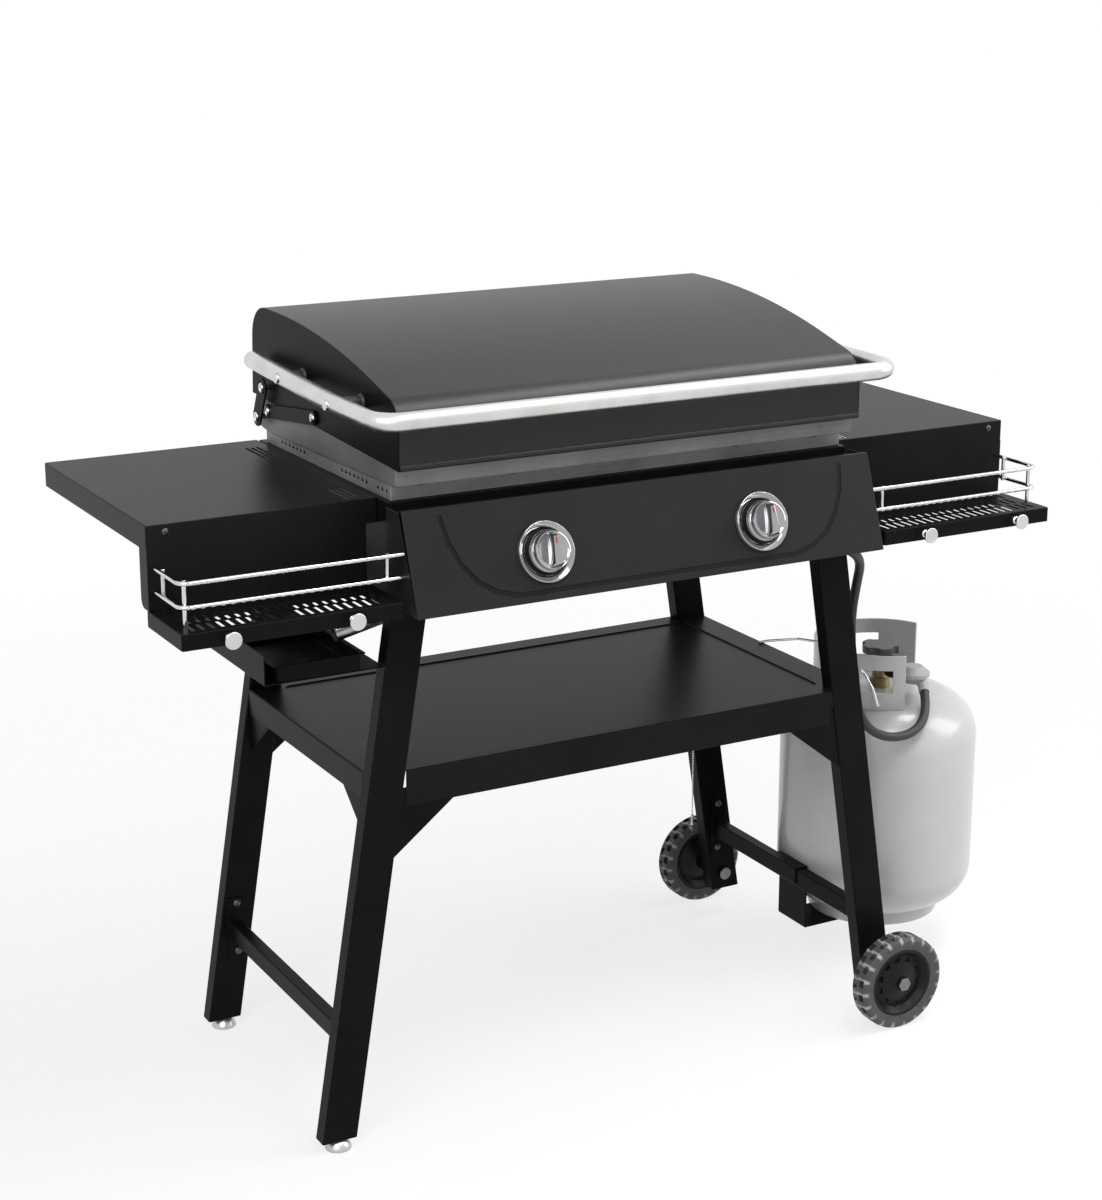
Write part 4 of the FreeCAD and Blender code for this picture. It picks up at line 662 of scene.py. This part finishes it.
class GeometryTree(Tree):
    """A Geometry Nodes group with named inputs, for pieces that repeat."""

    prefix = "GeometryNode"

    def __init__(self, name: str, sizes: dict[str, float | None]) -> None:
        """Starts a group.

        Args:
            name: the group's name.
            sizes: each input's default by name, or None for an object.
        """
        group = bpy.data.node_groups.new(name, "GeometryNodeTree")
        group.interface.new_socket("Geometry", in_out="OUTPUT", socket_type="NodeSocketGeometry")
        group.interface.new_socket("Geometry", in_out="INPUT", socket_type="NodeSocketGeometry")
        super().__init__(group)
        for label, default in sizes.items():
            kind = "NodeSocketObject" if default is None else "NodeSocketFloat"
            socket = group.interface.new_socket(label, in_out="INPUT", socket_type=kind)
            if default is not None:
                socket.default_value = default
        self.entry = group.nodes.new("NodeGroupInput")

    def given(self, label: str) -> Wire:
        """One of the group's named inputs."""
        return Wire(self, self.entry.outputs[label])

    def end(self, geometry: Wire, finish: Finish) -> None:
        """Realizes the instances, sets the material and ends the group.

        Args:
            geometry: what the group makes.
            finish: its finish.
        """
        solid = self.node("RealizeInstances", {"Geometry": geometry})
        dressed = self.node("SetMaterial", {"Geometry": solid, "Material": material_of(finish)})
        self.node("NodeGroupOutput", {"Geometry": dressed})

    def run(self, source: bpy.types.ID, values: dict[str, Any]) -> Mesh:
        """Runs the group on some data.

        Args:
            source: the mesh or curve that it starts from.
            values: its inputs by name.

        Returns:
            The resulting mesh.
        """
        item = linked("repeating", source)
        modifier = item.modifiers.new("repeat", "NODES")
        modifier.node_group = self.tree
        for socket in self.tree.interface.items_tree:
            if socket.in_out == "INPUT" and socket.name in values:
                modifier[socket.identifier] = values[socket.name]
        mesh = baked(item)
        smooth_by_angle(mesh)
        return mesh


def turned(profile: Sequence[Pair], steps: int) -> Form:
    """A form turned about its own Z axis.

    Args:
        profile: radius and height of each ring, from the bottom up; a radius of 0 closes the form.
        steps: faces round the axis.

    Returns:
        The bmesh of the closed form.
    """
    form = bmesh.new()
    rings: list[list[bmesh.types.BMVert]] = []
    for radius, height in profile:
        if radius == 0.0:
            rings.append([form.verts.new((0.0, 0.0, height))])
            continue
        angles = [2 * math.pi * step / steps for step in range(steps)]
        rings.append([form.verts.new((radius * math.cos(a), radius * math.sin(a), height)) for a in angles])
    for low, high in zip(rings, rings[1:]):
        for step in range(steps):
            after = (step + 1) % steps
            corners = [low[step % len(low)], low[after % len(low)], high[after % len(high)], high[step % len(high)]]
            kept = list(dict.fromkeys(corners))
            if len(kept) > 2:
                form.faces.new(kept)
    bmesh.ops.recalc_face_normals(form, faces=form.faces)
    return form


def stood(form: Form, point: Sequence[float], direction: Sequence[float], up: Sequence[float] = (0, 0, 1)) -> Form:
    """Moves a form so that its Z axis points along a direction and its Y axis towards up.

    Args:
        form: the form to move.
        point: where its origin goes.
        direction: where its Z axis points.
        up: where its Y axis leans, which isn't along that direction.

    Returns:
        The same form.
    """
    axis = Vector(direction).normalized()
    across = Vector(up).cross(axis).normalized()
    turn = Matrix((across, axis.cross(across), axis)).transposed().to_4x4()
    form.transform(Matrix.Translation(point) @ turn)
    return form


def meshed(form: Form, name: str, angle: float = SMOOTH) -> Mesh:
    """Turns a bmesh into a smooth-shaded mesh.

    Args:
        form: the bmesh, which is freed.
        name: the mesh's name.
        angle: the least angle of an edge that stays sharp, in degrees.

    Returns:
        The mesh.
    """
    mesh = bpy.data.meshes.new(name)
    form.to_mesh(mesh)
    form.free()
    smooth_by_angle(mesh, angle)
    return mesh


def joined(form: Form, part: Form) -> Form:
    """Adds a part's faces to a form.

    Args:
        form: the form to add to.
        part: the part, which is freed.

    Returns:
        The same form.
    """
    held = bpy.data.meshes.new("held")
    part.to_mesh(held)
    part.free()
    form.from_mesh(held)
    bpy.data.meshes.remove(held)
    return form


def add_box(form: Form, centre: Sequence[float], size: Point) -> None:
    """Adds a box to a form, by its centre and its three lengths in metres."""
    bmesh.ops.create_cube(form, size=1.0, matrix=Matrix.Translation(centre) @ Matrix.Diagonal((*size, 1.0)))


def cross_screw(radius: float, rise: float) -> Item:
    """A domed screw head with a cross recess, on its own Z axis.

    Args:
        radius: the head's radius in metres.
        rise: how high it stands.

    Returns:
        An object that holds the head.
    """
    steps, wall, slot, depth = 5, 0.18, 0.22, 1.2
    profile = [(radius, 0.0), (radius, rise * wall)]
    for step in range(1, steps):
        turn = math.pi / 2 * step / steps
        profile.append((radius * math.cos(turn), rise * (wall + (1 - wall) * math.sin(turn))))
    head = linked("screw_head", meshed(turned([(0.0, 0.0), *profile, (0.0, rise)], 28), "screw_head"))
    cross = bmesh.new()
    for width, length in ((slot, depth), (depth, slot)):
        add_box(cross, (0, 0, rise * 1.1), (radius * width, radius * length, rise * depth))
    tool = linked("recess", meshed(cross, "recess"))
    carve = head.modifiers.new("recess", "BOOLEAN")
    carve.object = tool
    carve.solver = "EXACT"
    carve.use_self = True
    carved = baked(head)
    smooth_by_angle(carved)
    bpy.data.objects.remove(tool)
    return linked("screw_head", carved)


class ScrewGroup(GeometryTree):
    """The group that puts a screw head on each point, along the point's own direction."""

    def __init__(self, finish: Finish) -> None:
        """Builds the group.

        Args:
            finish: the screws' finish.
        """
        super().__init__("screw heads", {"Head": None, "Turn": SCREW_TURN})
        head = self.node("ObjectInfo", {"Object": self.given("Head")}, output="Geometry")
        way = self.node("InputNamedAttribute", {"Name": "direction"}, {"data_type": "FLOAT_VECTOR"})
        aim = self.node("FunctionNodeAlignRotationToVector", {"Vector": way}, {"axis": "Z"})
        about = {"Axis": (0.0, 0.0, 1.0), "Angle": self.given("Turn")}
        local = self.node("FunctionNodeAxisAngleToRotation", about)
        spin = self.node("FunctionNodeRotateRotation", {0: aim, 1: local}, {"rotation_space": "LOCAL"})
        inputs = {"Points": self.given("Geometry"), "Instance": head, "Rotation": spin}
        self.end(self.node("InstanceOnPoints", inputs), finish)

    def screws(self, spots: Sequence[tuple[Vector, Point]], head: Item, turn: float = SCREW_TURN) -> Mesh:
        """Screw heads at some spots.

        Args:
            spots: each head's seat and the direction it faces.
            head: the head's object.
            turn: how far each is turned about its axis, in radians.

        Returns:
            The mesh of them all.
        """
        mesh = bpy.data.meshes.new("screw points")
        mesh.from_pydata([tuple(point) for point, _ in spots], [], [])
        ways = mesh.attributes.new("direction", "FLOAT_VECTOR", "POINT")
        ways.data.foreach_set("vector", [value for _, way in spots for value in way])
        return self.run(mesh, {"Head": head, "Turn": turn})


def at(across: float, depth: float, height: float) -> Vector:
    """A place in the frame, from millimetres to the right of and behind the cart's middle and over the floor."""
    return (Vector((across, depth, height)) - Vector(ORIGIN)) * MILLIMETRE


def scaled(profile: Iterable[Pair]) -> list[Pair]:
    """A profile in metres from one in millimetres."""
    return [(a * MILLIMETRE, b * MILLIMETRE) for a, b in profile]


@dataclass
class Cart(Assembly):
    """The splayed legs, their crossbars, feet and fittings, and the two wheels."""

    def build(self) -> None:
        """Dresses the legs, bars, feet, bolts and wheels."""
        for end in ("front", "rear"):
            axle = middle(f"tyre_{end}")
            tread = Tread(f"tyre rubber {end}", axle.x, axle.z)
            self.refine(POWDER, 0.0018, f"leg_{end}_left", f"leg_{end}_right")
            self.refine(tread, 0.0009, f"tyre_{end}", sharp=ROUND_STOCK)
            self.refine(MOULDED, 0.0008, f"hub_{end}")
            self.refine(ZINC, 0.0008, f"foot_{end}")
        self.refine(POWDER, 0.0012, "crossbar_left", "crossbar_right")
        self.refine(BLACK_OXIDE, 0.0007, "leg_fittings")
        self.refine(DULL_ZINC, 0.0006, "axle_bolts")
        self.refine(BLACK_OXIDE, 0.0005, "cart_bolts")


@dataclass
class LowerShelf(Assembly):
    """The dished shelf on the legs and its gussets."""

    def build(self) -> None:
        """Dresses the shelf and its gussets."""
        self.refine(SHELF_PAINT, 0.0025, "lower_shelf")
        self.refine(POWDER, 0.001, "shelf_gussets")


@dataclass
class Panel:
    """The control panel's slope and where the knobs stand on it, in millimetres."""

    top: Pair = (-259.0, 884.0)
    bottom: Pair = (-305.6, 754.0)
    knob_across: float = 167.0
    knob_down: float = 75.0
    knob_gap: float = 6.0

    @property
    def down(self) -> Vector:
        """Unit vector down the panel."""
        return Vector((0.0, self.bottom[0] - self.top[0], self.bottom[1] - self.top[1])).normalized()

    @property
    def normal(self) -> Vector:
        """Unit vector out of the panel."""
        down = self.down
        return Vector((0.0, down.z, -down.y))

    def spot(self, across: float, down_by: float, out_by: float) -> Vector:
        """The place in the frame that is so far right of the panel's middle, down its slope and out of its face."""
        return at(*(Vector((across, *self.top)) + self.down * down_by + self.normal * out_by))


@dataclass
class Knob:
    """One control knob, in millimetres on its own axis: Z out of the panel and Y up it."""

    side: int
    panel: Panel
    grip_foot: float = 19.0
    grip_top: float = 10.0
    reach: float = 22.0
    face: float = 15.0
    crest: float = 29.0
    grip_ease: float = 1.1
    mark_down: float = 10.5
    mark_size: Point = (2.4, 8.0, 0.8)
    mark_ease: float = 0.3
    rim: tuple[Pair, ...] = (
        (0.0, 0.0), (27.4, 0.0), (28.0, 0.6), (28.0, 4.4), (27.5, 5.4), (26.0, 7.8), (25.4, 8.3),
        (25.9, 9.3), (25.9, 10.1), (25.4, 11.0), (25.8, 12.0), (25.8, 12.8), (25.3, 13.7), (25.5, 15.6),
        (24.9, 16.7), (23.9, 17.0), (22.9, 16.7), (21.4, 15.3), (20.4, 15.0), (0.0, 15.0),
    )

    def grip(self) -> Form:
        """The faceted grip bar, wider at its foot.

        Returns:
            The bar's bmesh.
        """
        form = bmesh.new()
        rings = []
        for height, pull, shorten in ((self.face - 1, 0.0, 0.0), (self.face + 5, 0.6, 0.5), (self.crest, 3.2, 4.5)):
            reach = self.reach - shorten
            foot, top = self.grip_foot / 2 - pull, self.grip_top / 2 - pull * 0.6
            corners = ((-foot, -reach), (foot, -reach), (top, reach), (-top, reach))
            rings.append([form.verts.new(Vector((x, y, height)) * MILLIMETRE) for x, y in corners])
        form.faces.new(rings[0][::-1])
        form.faces.new(rings[-1])
        for low, high in zip(rings, rings[1:]):
            for i in range(4):
                form.faces.new((low[i], low[(i + 1) % 4], high[(i + 1) % 4], high[i]))
        upper = [edge for edge in form.edges if max(vert.co.z for vert in edge.verts) > self.face * MILLIMETRE]
        ease = self.grip_ease * MILLIMETRE
        bmesh.ops.bevel(form, geom=upper, offset=ease, segments=BEVEL_SEGMENTS, profile=0.6, affect="EDGES")
        return form

    def stand(self, form: Form) -> Form:
        """Stands a form on the knob's axis."""
        panel = self.panel
        return stood(form, panel.spot(self.side * panel.knob_across, panel.knob_down, panel.knob_gap), panel.normal)

    def mesh(self) -> Mesh:
        """The knob's body and grip in one mesh."""
        return meshed(self.stand(joined(turned(scaled(self.rim), 64), self.grip())), "knob", SHEET_EDGE)

    def mark(self) -> Mesh:
        """The red mark on the top end of the grip.

        Returns:
            The mesh.
        """
        form = bmesh.new()
        place, size = (0.0, self.reach - self.mark_down, self.crest), self.mark_size
        add_box(form, Vector(place) * MILLIMETRE, Vector(size) * MILLIMETRE)
        ease = self.mark_ease * MILLIMETRE
        bmesh.ops.bevel(form, geom=list(form.edges), offset=ease, segments=BEVEL_SEGMENTS, affect="EDGES")
        return meshed(self.stand(form), "mark")


@dataclass
class BurnerBox(Assembly):
    """The firebox with its rail, sloping panel, knobs, burners and gas fittings.

    The pressed groove lies within a distance from the panel's middle, a fall down its slope and a depth under its
    face, in millimetres; a face of it leans no further back than groove_lean.
    """

    panel: Panel = field(default_factory=Panel)
    groove_half: float = 320.0
    groove_fall: Pair = (6.0, 133.0)
    groove_depth: Pair = (0.1, 1.15)
    groove_lean: float = -0.2
    bezel_edge: float = 20.0

    def shade_groove(self, mesh: Mesh) -> None:
        """Paints shade into the panel's pressed groove: its faces get a darker, duller paint where shade falls.

        Args:
            mesh: the panel's mesh.
        """
        mesh.materials.append(material_of(GROOVE_SHADE))
        corner, out, down = self.panel.spot(0.0, 0.0, 0.0), self.panel.normal, self.panel.down
        (highest, lowest), (least, most) = self.groove_fall, self.groove_depth
        for face in mesh.polygons:
            reach = (face.center - corner) / MILLIMETRE
            inside = abs(reach.x) < self.groove_half and highest < reach.dot(down) < lowest
            if inside and least < -reach.dot(out) < most and face.normal.dot(out) > self.groove_lean:
                face.material_index = 1

    def build(self) -> None:
        """Dresses the housing and builds the knobs."""
        self.refine(POWDER, 0.0015, "firebox", "front_rail")
        self.refine(PANEL_PAINT, 0.0013, "control_panel")
        self.shade_groove(self.pieces["control_panel_piece"].data)
        self.refine(SHADED_KNOB_CHROME, 0.0008, "knob_bezels", sharp=self.bezel_edge)
        for side, name in ((-1, "left"), (1, "right")):
            knob = Knob(side, self.panel)
            body = BODY_OF[f"knob_{name}"]
            self.add(f"control_knob_{name}", knob.mesh(), SHADED_KNOB_CHROME, Slot.CHROME, body, [f"knob_{name}"])
            mark = self.add(f"knob_mark_{name}", knob.mark(), RED_MARK, Slot.CHROME, body)
            # The record has no slot for the mark's red, so the mark keeps its own finish.
            del mark["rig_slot"]
            self.coat(BURNER, f"burner_{name}", f"valve_stem_{name}")
        self.coat(POWDER, "burner_shield")
        self.coat(BRASS, "gas_valves")
        self.coat(ZINC, "manifold")
        self.coat(CERAMIC, "igniters")


@dataclass
class Griddle(Assembly):
    """The cooking plate and the skirt under it."""

    def build(self) -> None:
        """Dresses the plate and skirt."""
        self.refine(PLATE, 0.0015, "griddle_plate")
        self.refine(SKIRT, 0.001, "griddle_skirt")


@dataclass
class Lid(Assembly):
    """The lid, its wrap-round handle and the links that carry it, in millimetres."""

    half: float = 355.4
    bolt_faces: Pair = (359.3, 366.4)
    plate_pivots: tuple[Pair, Pair] = ((175.9, 936.0), (200.0, 924.5))
    lid_pivots: tuple[Pair, Pair] = ((17.4, 954.4), (177.9, 969.9))
    bolt_head: Pair = (7.15, 3.65)
    bolt_seat: float = 0.05
    standoffs: Pair = (-137.0, 50.0)
    handle_radius: float = 12.5
    handle_side: float = 394.0
    handle_end: Pair = (375.0, 187.0)
    handle_knee: float = -131.0
    handle_front: float = -272.0
    handle_height: float = 1001.0
    handle_rise: float = 8.0
    nub_foot: tuple[Pair, ...] = ((0.0, 0.1), (10.4, 0.1), (10.8, 1.2), (10.2, 3.0), (8.5, 4.6))
    nub_sunk: float = 3.5
    screw_head: Pair = (6.6, 2.8)
    screw_seat: float = 0.8
    screw_turn: float = 0.3

    def share(self, depth: float, start: float) -> float:
        """How far a depth is on the way from a start to the handle's end, where 0 is no way and 1 all of it."""
        return max(0.0, (depth - start) / (self.handle_end[1] - start))

    def handle_across(self, depth: float) -> float:
        """Distance of the handle's arms from the middle at a depth."""
        return self.handle_side + (self.handle_end[0] - self.handle_side) * self.share(depth, self.handle_knee)

    def handle_level(self, depth: float) -> float:
        """Height of the handle's centre line at a depth."""
        return self.handle_height + self.handle_rise * self.share(depth, self.handle_front)

    def nubs(self) -> Mesh:
        """The black nubs that hold the handle off the lid.

        Returns:
            The mesh of all four.
        """
        form = bmesh.new()
        for side, depth in itertools.product((-1, 1), self.standoffs):
            reach = self.handle_across(depth) - self.half - self.handle_radius + self.nub_sunk
            outline = [*self.nub_foot, (8.3, reach - 1.5), (7.4, reach), (0.0, reach)]
            seat = at(side * self.half, depth, self.handle_level(depth))
            joined(form, stood(turned(scaled(outline), 28), seat, (side, 0, 0)))
        return meshed(form, "nubs")

    def build(self) -> None:
        """Dresses the lid and links and adds cross-recess screw heads."""
        self.refine(LID_PAINT, 0.0012, "lid_top")
        self.refine(POWDER, 0.0006, "lid_ends")
        self.refine(STAINLESS, 0.0008, "lid_handle", sharp=ROUND_STOCK)
        self.refine(CHROME, 0.0003, "lid_fasteners", sharp=ROUND_STOCK)
        self.refine(CHROME, 0.0005, "hinge_bolts", sharp=ROUND_STOCK)
        self.refine(POWDER, 0.0007, "front_links", "rear_links")
        self.add("handle_nubs", self.nubs(), HOSE_RUBBER, Slot.BLACK, "lid")
        group = ScrewGroup(CHROME)
        bolt, small = (cross_screw(*size) for size in scaled((self.bolt_head, self.screw_head)))
        for name, pivots, body in (("plate", self.plate_pivots, "cart"), ("lid", self.lid_pivots, "lid")):
            spots = [
                (at(side * (face - self.bolt_seat), *pivot), (side, 0.0, 0.0))
                for side, (face, pivot) in itertools.product((-1, 1), zip(self.bolt_faces, pivots))
            ]
            self.add(f"link_bolt_heads_{name}", group.screws(spots, bolt), CHROME, Slot.CHROME, body)
        ends = []
        for side, depth in itertools.product((-1, 1), self.standoffs):
            out = self.handle_across(depth) + self.handle_radius - self.screw_seat
            ends.append((at(side * out, depth, self.handle_level(depth)), (side, 0.0, 0.0)))
        self.add("handle_screw_heads", group.screws(ends, small, self.screw_turn), CHROME, Slot.CHROME, "lid")
        for head in (bolt, small):
            bpy.data.objects.remove(head)


@dataclass
class SideTables(Assembly):
    """The two side tables with their caddies, wire rails and tool hooks."""

    def build(self) -> None:
        """Dresses the tables, caddies, rails and hooks."""
        for side in ("left", "right"):
            self.refine(SHELF_PAINT, 0.0015, f"table_{side}")
            self.refine(POWDER, 0.0015, f"caddy_{side}")
            self.refine(CHROME, 0.0004, f"rails_{side}", sharp=ROUND_STOCK)
        self.refine(STAINLESS, 0.0007, "tool_hooks")


@dataclass
class GreaseCatcher(Assembly):
    """The guide, sliding tray and chute for grease."""

    def build(self) -> None:
        """Dresses the guide, tray and chute."""
        self.refine(POWDER, 0.0012, "tray_guide", "drip_tray")
        self.coat(ZINC, "grease_chute")


class ChainGroup(GeometryTree):
    """The group that strings beads along a line."""

    def __init__(self, finish: Finish) -> None:
        """Builds the group: beads at a pitch along the line, joined by a thin wire.

        Args:
            finish: the chain's finish.
        """
        super().__init__("bead chain", {"Pitch": 0.004, "Bead": 0.0016, "Wire": 0.0005})
        line = self.node("MeshToCurve", {"Mesh": self.given("Geometry")})
        pitch = {"Curve": line, "Length": self.given("Pitch")}
        spaced = self.node("ResampleCurve", pitch, {"mode": "LENGTH"})
        bead = self.node("MeshUVSphere", {"Segments": 10, "Rings": 6, "Radius": self.given("Bead")})
        beads = self.node("InstanceOnPoints", {"Points": spaced, "Instance": bead})
        section = self.node("CurvePrimitiveCircle", {"Resolution": 6, "Radius": self.given("Wire")})
        wire = self.node("CurveToMesh", {"Curve": line, "Profile Curve": section, "Fill Caps": True})
        both = self.node("JoinGeometry")
        for part in (beads, wire):
            self.tree.links.new(part.socket, both.socket.node.inputs[0])
        self.end(both, finish)


@dataclass
class GasSupply(Assembly):
    """The hung gas cylinder with its valve, regulator, hose and hold-down wire, and the match chain.

    The hose's radius and length are in metres, and the length is not used; the route, line, clip and its outline are
    in millimetres.
    """

    hose_radius: float = 0.007
    hose_length: float = 0.599
    hose_route: tuple[Point, ...] = (
        (297, -239.5, 767), (325, -240, 750), (362.5, -235, 734), (390.5, -214, 710), (402, -190, 672),
        (401, -181, 624), (404, -179, 572), (410, -178, 520), (424, -174, 470), (452, -166, 430),
        (496, -164, 409), (544, -160, 409), (583, -139, 428), (602, -106, 449),
    )
    chain_line: tuple[Point, Point] = ((370, 190, 523), (370, 190, 191))
    clip: Point = (370, 190, 172)
    clip_outline: tuple[Pair, ...] = (
        (0, 0), (2.2, 0), (3.0, 1.2), (2.5, 3.0), (1.7, 5.0), (1.7, 15.0), (2.4, 16.5), (2.4, 18.0), (0, 19.5),
    )

    def hose(self) -> None:
        """The gas hose as one smooth NURBS curve from the manifold to the regulator."""
        curve = bpy.data.curves.new("gas_hose_curve", "CURVE")
        curve.dimensions = "3D"
        curve.bevel_depth = self.hose_radius
        curve.bevel_resolution = 5
        curve.resolution_u = 10
        curve.use_fill_caps = True
        spline = curve.splines.new("NURBS")
        spline.points.add(len(self.hose_route) - 1)
        for point, place in zip(spline.points, self.hose_route):
            point.co = (*at(*place), 1.0)
        spline.order_u = 3
        spline.use_endpoint_u = True
        curve.materials.append(material_of(HOSE_RUBBER))
        hose = linked("gas_hose_line", curve)
        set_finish(hose, Slot.HOSE.value)
        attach(hose, "cart")
        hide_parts("gas_hose")
        self.pieces["gas_hose_line"] = hose

    def chain(self) -> None:
        """The bead chain under the shelf with the clip that holds a match."""
        line = bpy.data.meshes.new("chain line")
        line.from_pydata([tuple(at(*point)) for point in self.chain_line], [(0, 1)], [])
        mesh = ChainGroup(CHROME).run(line, {})
        self.add("match_chain_beads", mesh, CHROME, Slot.CHROME, "cart", ["match_chain"])
        clip = stood(turned(scaled(self.clip_outline), 20), at(*self.clip), (0, 0, 1), (0, 1, 0))
        self.add("match_clip", meshed(clip, "clip"), ZINC, Slot.CHROME, "cart")

    def build(self) -> None:
        """Dresses the cylinder and its fittings and makes the hose and the chain."""
        self.hose()
        self.chain()
        self.refine(POWDER, 0.0015, "tank_hanger")
        self.refine(CYLINDER, 0.002, "gas_cylinder")
        self.refine(CYLINDER, 0.001, "cylinder_rings")
        self.refine(BRASS, 0.0008, "cylinder_valve")
        self.refine(HANDWHEEL, 0.0015, "valve_handwheel")
        self.refine(MOULDED, 0.0008, "coupling_nut")
        self.refine(CAST_GREY, 0.001, "regulator")
        self.refine(CHROME, 0.0003, "tank_wire", sharp=ROUND_STOCK)


SEEN_RAYS = ("Is Camera Ray", "Is Glossy Ray", "Is Transmission Ray")


def seen_rays(tree: Tree) -> Wire:
    """One for the rays that show the background: the camera's, mirrored ones and those through glass."""
    camera, glossy, through = [tree.node("LightPath", output=name) for name in SEEN_RAYS]
    return (camera + glossy + through).clamped()


@dataclass(frozen=True)
class FloorPaper(Finish):
    """A pale floor that fades into the white background between two distances from the object, in metres."""

    reach: float = 1.1
    fade: float = 1.6
    near: float = 0.76

    def paint(self, tree: ShaderTree) -> None:
        """Builds the floor: paint with shadow near the object, plain white light far off.

        Args:
            tree: the material's tree.
        """
        radius = tree.node("VectorMath", {0: tree.place()}, {"operation": "LENGTH"}, "Value")
        share = ((radius - self.reach) * (1 / self.fade)).clamped() * (1 - self.near) + self.near
        paint = tree.node("BsdfDiffuse", {"Color": (0.86, 0.86, 0.86)})
        light = tree.node("Emission", {"Color": (1.0, 1.0, 1.0), "Strength": 1.0})
        mixed = tree.node("MixShader", {0: share * seen_rays(tree), 1: paint, 2: light})
        tree.node("OutputMaterial", {"Surface": mixed})


def aimed(name: str, data: bpy.types.ID, place: Sequence[float], way: Vector) -> None:
    """Puts a lamp or a camera at a place, looking along a direction.

    Args:
        name: its name.
        data: the lamp's or the camera's data.
        place: where it is, in metres.
        way: where it looks.
    """
    item = linked(name, data)
    item.location = place
    item.rotation_mode = "QUATERNION"
    item.rotation_quaternion = way.to_track_quat("-Z", "Y")


@dataclass(frozen=True)
class Lamp:
    """A soft rectangular light: its place, aim and size in metres and its power in watts."""

    name: str
    place: Point
    aim: Point
    size: Pair
    power: float

    def hang(self) -> None:
        """Adds the light to the scene."""
        data = bpy.data.lights.new(self.name, "AREA")
        data.shape = "RECTANGLE"
        data.size, data.size_y = self.size
        data.energy = self.power
        aimed(self.name, data, self.place, Vector(self.aim) - Vector(self.place))


@dataclass
class Studio:
    """The floor, soft lights, white surroundings and camera.

    The camera's place is in millimetres, its turns are in degrees, and its focal length, picture and centre are in the
    photograph's pixels.
    """

    camera_place: Point = (-1586.8, -2846.9, 1588.7)
    yaw: float = 28.9
    pitch: float = 14.8
    focal: float = 2347.4
    frame_size: tuple[int, int] = (1102, 1200)
    centre: Pair = (542.2, 551.0)
    sensor: float = 36.0
    ambient: float = 0.35
    floor_half: float = 60.0
    lamps: tuple[Lamp, ...] = (
        Lamp("key", place=(-2.6, -2.2, 3.0), aim=(0.0, 0.0, 0.7), size=(2.2, 2.2), power=80.0),
        Lamp("side", place=(3.0, -1.2, 2.2), aim=(0.1, 0.0, 0.6), size=(1.6, 2.2), power=55.0),
        Lamp("top", place=(0.9, -0.8, 3.2), aim=(0.1, -0.05, 0.95), size=(3.4, 0.5), power=75.0),
    )

    def floor(self) -> None:
        """Lays the floor."""
        form = bmesh.new()
        bmesh.ops.create_grid(form, x_segments=1, y_segments=1, size=self.floor_half)
        paper = linked("floor_paper", meshed(form, "floor"))
        paper.data.materials.append(material_of(FloorPaper("floor paper")))

    def world(self) -> None:
        """White surroundings where they are seen, mirrored or looked through, and a plain even light elsewhere."""
        world = bpy.data.worlds.new("studio")
        world.use_nodes = True
        tree = Tree(world.node_tree)
        seen = seen_rays(tree)
        strength = seen + (1 - seen) * self.ambient
        shell = tree.node("Background", {"Color": (1.0, 1.0, 1.0), "Strength": strength})
        tree.node("OutputWorld", {"Surface": shell})
        bpy.context.scene.world = world

    def camera(self) -> None:
        """The camera at the photograph's place, angle and framing."""
        data = bpy.data.cameras.new("camera")
        data.sensor_width = self.sensor
        width, height = self.frame_size
        data.lens = self.focal * self.sensor / height
        data.shift_x = (width / 2 - self.centre[0]) / height
        data.shift_y = (self.centre[1] - height / 2) / height
        data.clip_start, data.clip_end = 0.05, 200.0
        yaw, pitch = math.radians(self.yaw), math.radians(self.pitch)
        way = Vector((math.sin(yaw) * math.cos(pitch), math.cos(yaw) * math.cos(pitch), -math.sin(pitch)))
        aimed("camera", data, at(*self.camera_place), way)
        bpy.context.scene.camera = bpy.data.objects["camera"]

    def build(self) -> None:
        """Sets up the studio."""
        self.camera()
        self.floor()
        self.world()
        for lamp in self.lamps:
            lamp.hang()


def main() -> None:
    """Builds the station round its frame and reports each piece."""
    bpy.context.scene.view_settings.view_transform = "Standard"
    Studio().build()
    parts = (GasSupply(), Cart(), LowerShelf(), BurnerBox(), Griddle(), Lid(), SideTables(), GreaseCatcher())
    for part in parts:
        part.build()
        for name in part.pieces:
            LOG.info("%s: %s", type(part).__name__, name)


if __name__ == "__main__":
    logging.basicConfig(level=logging.INFO)
    main()
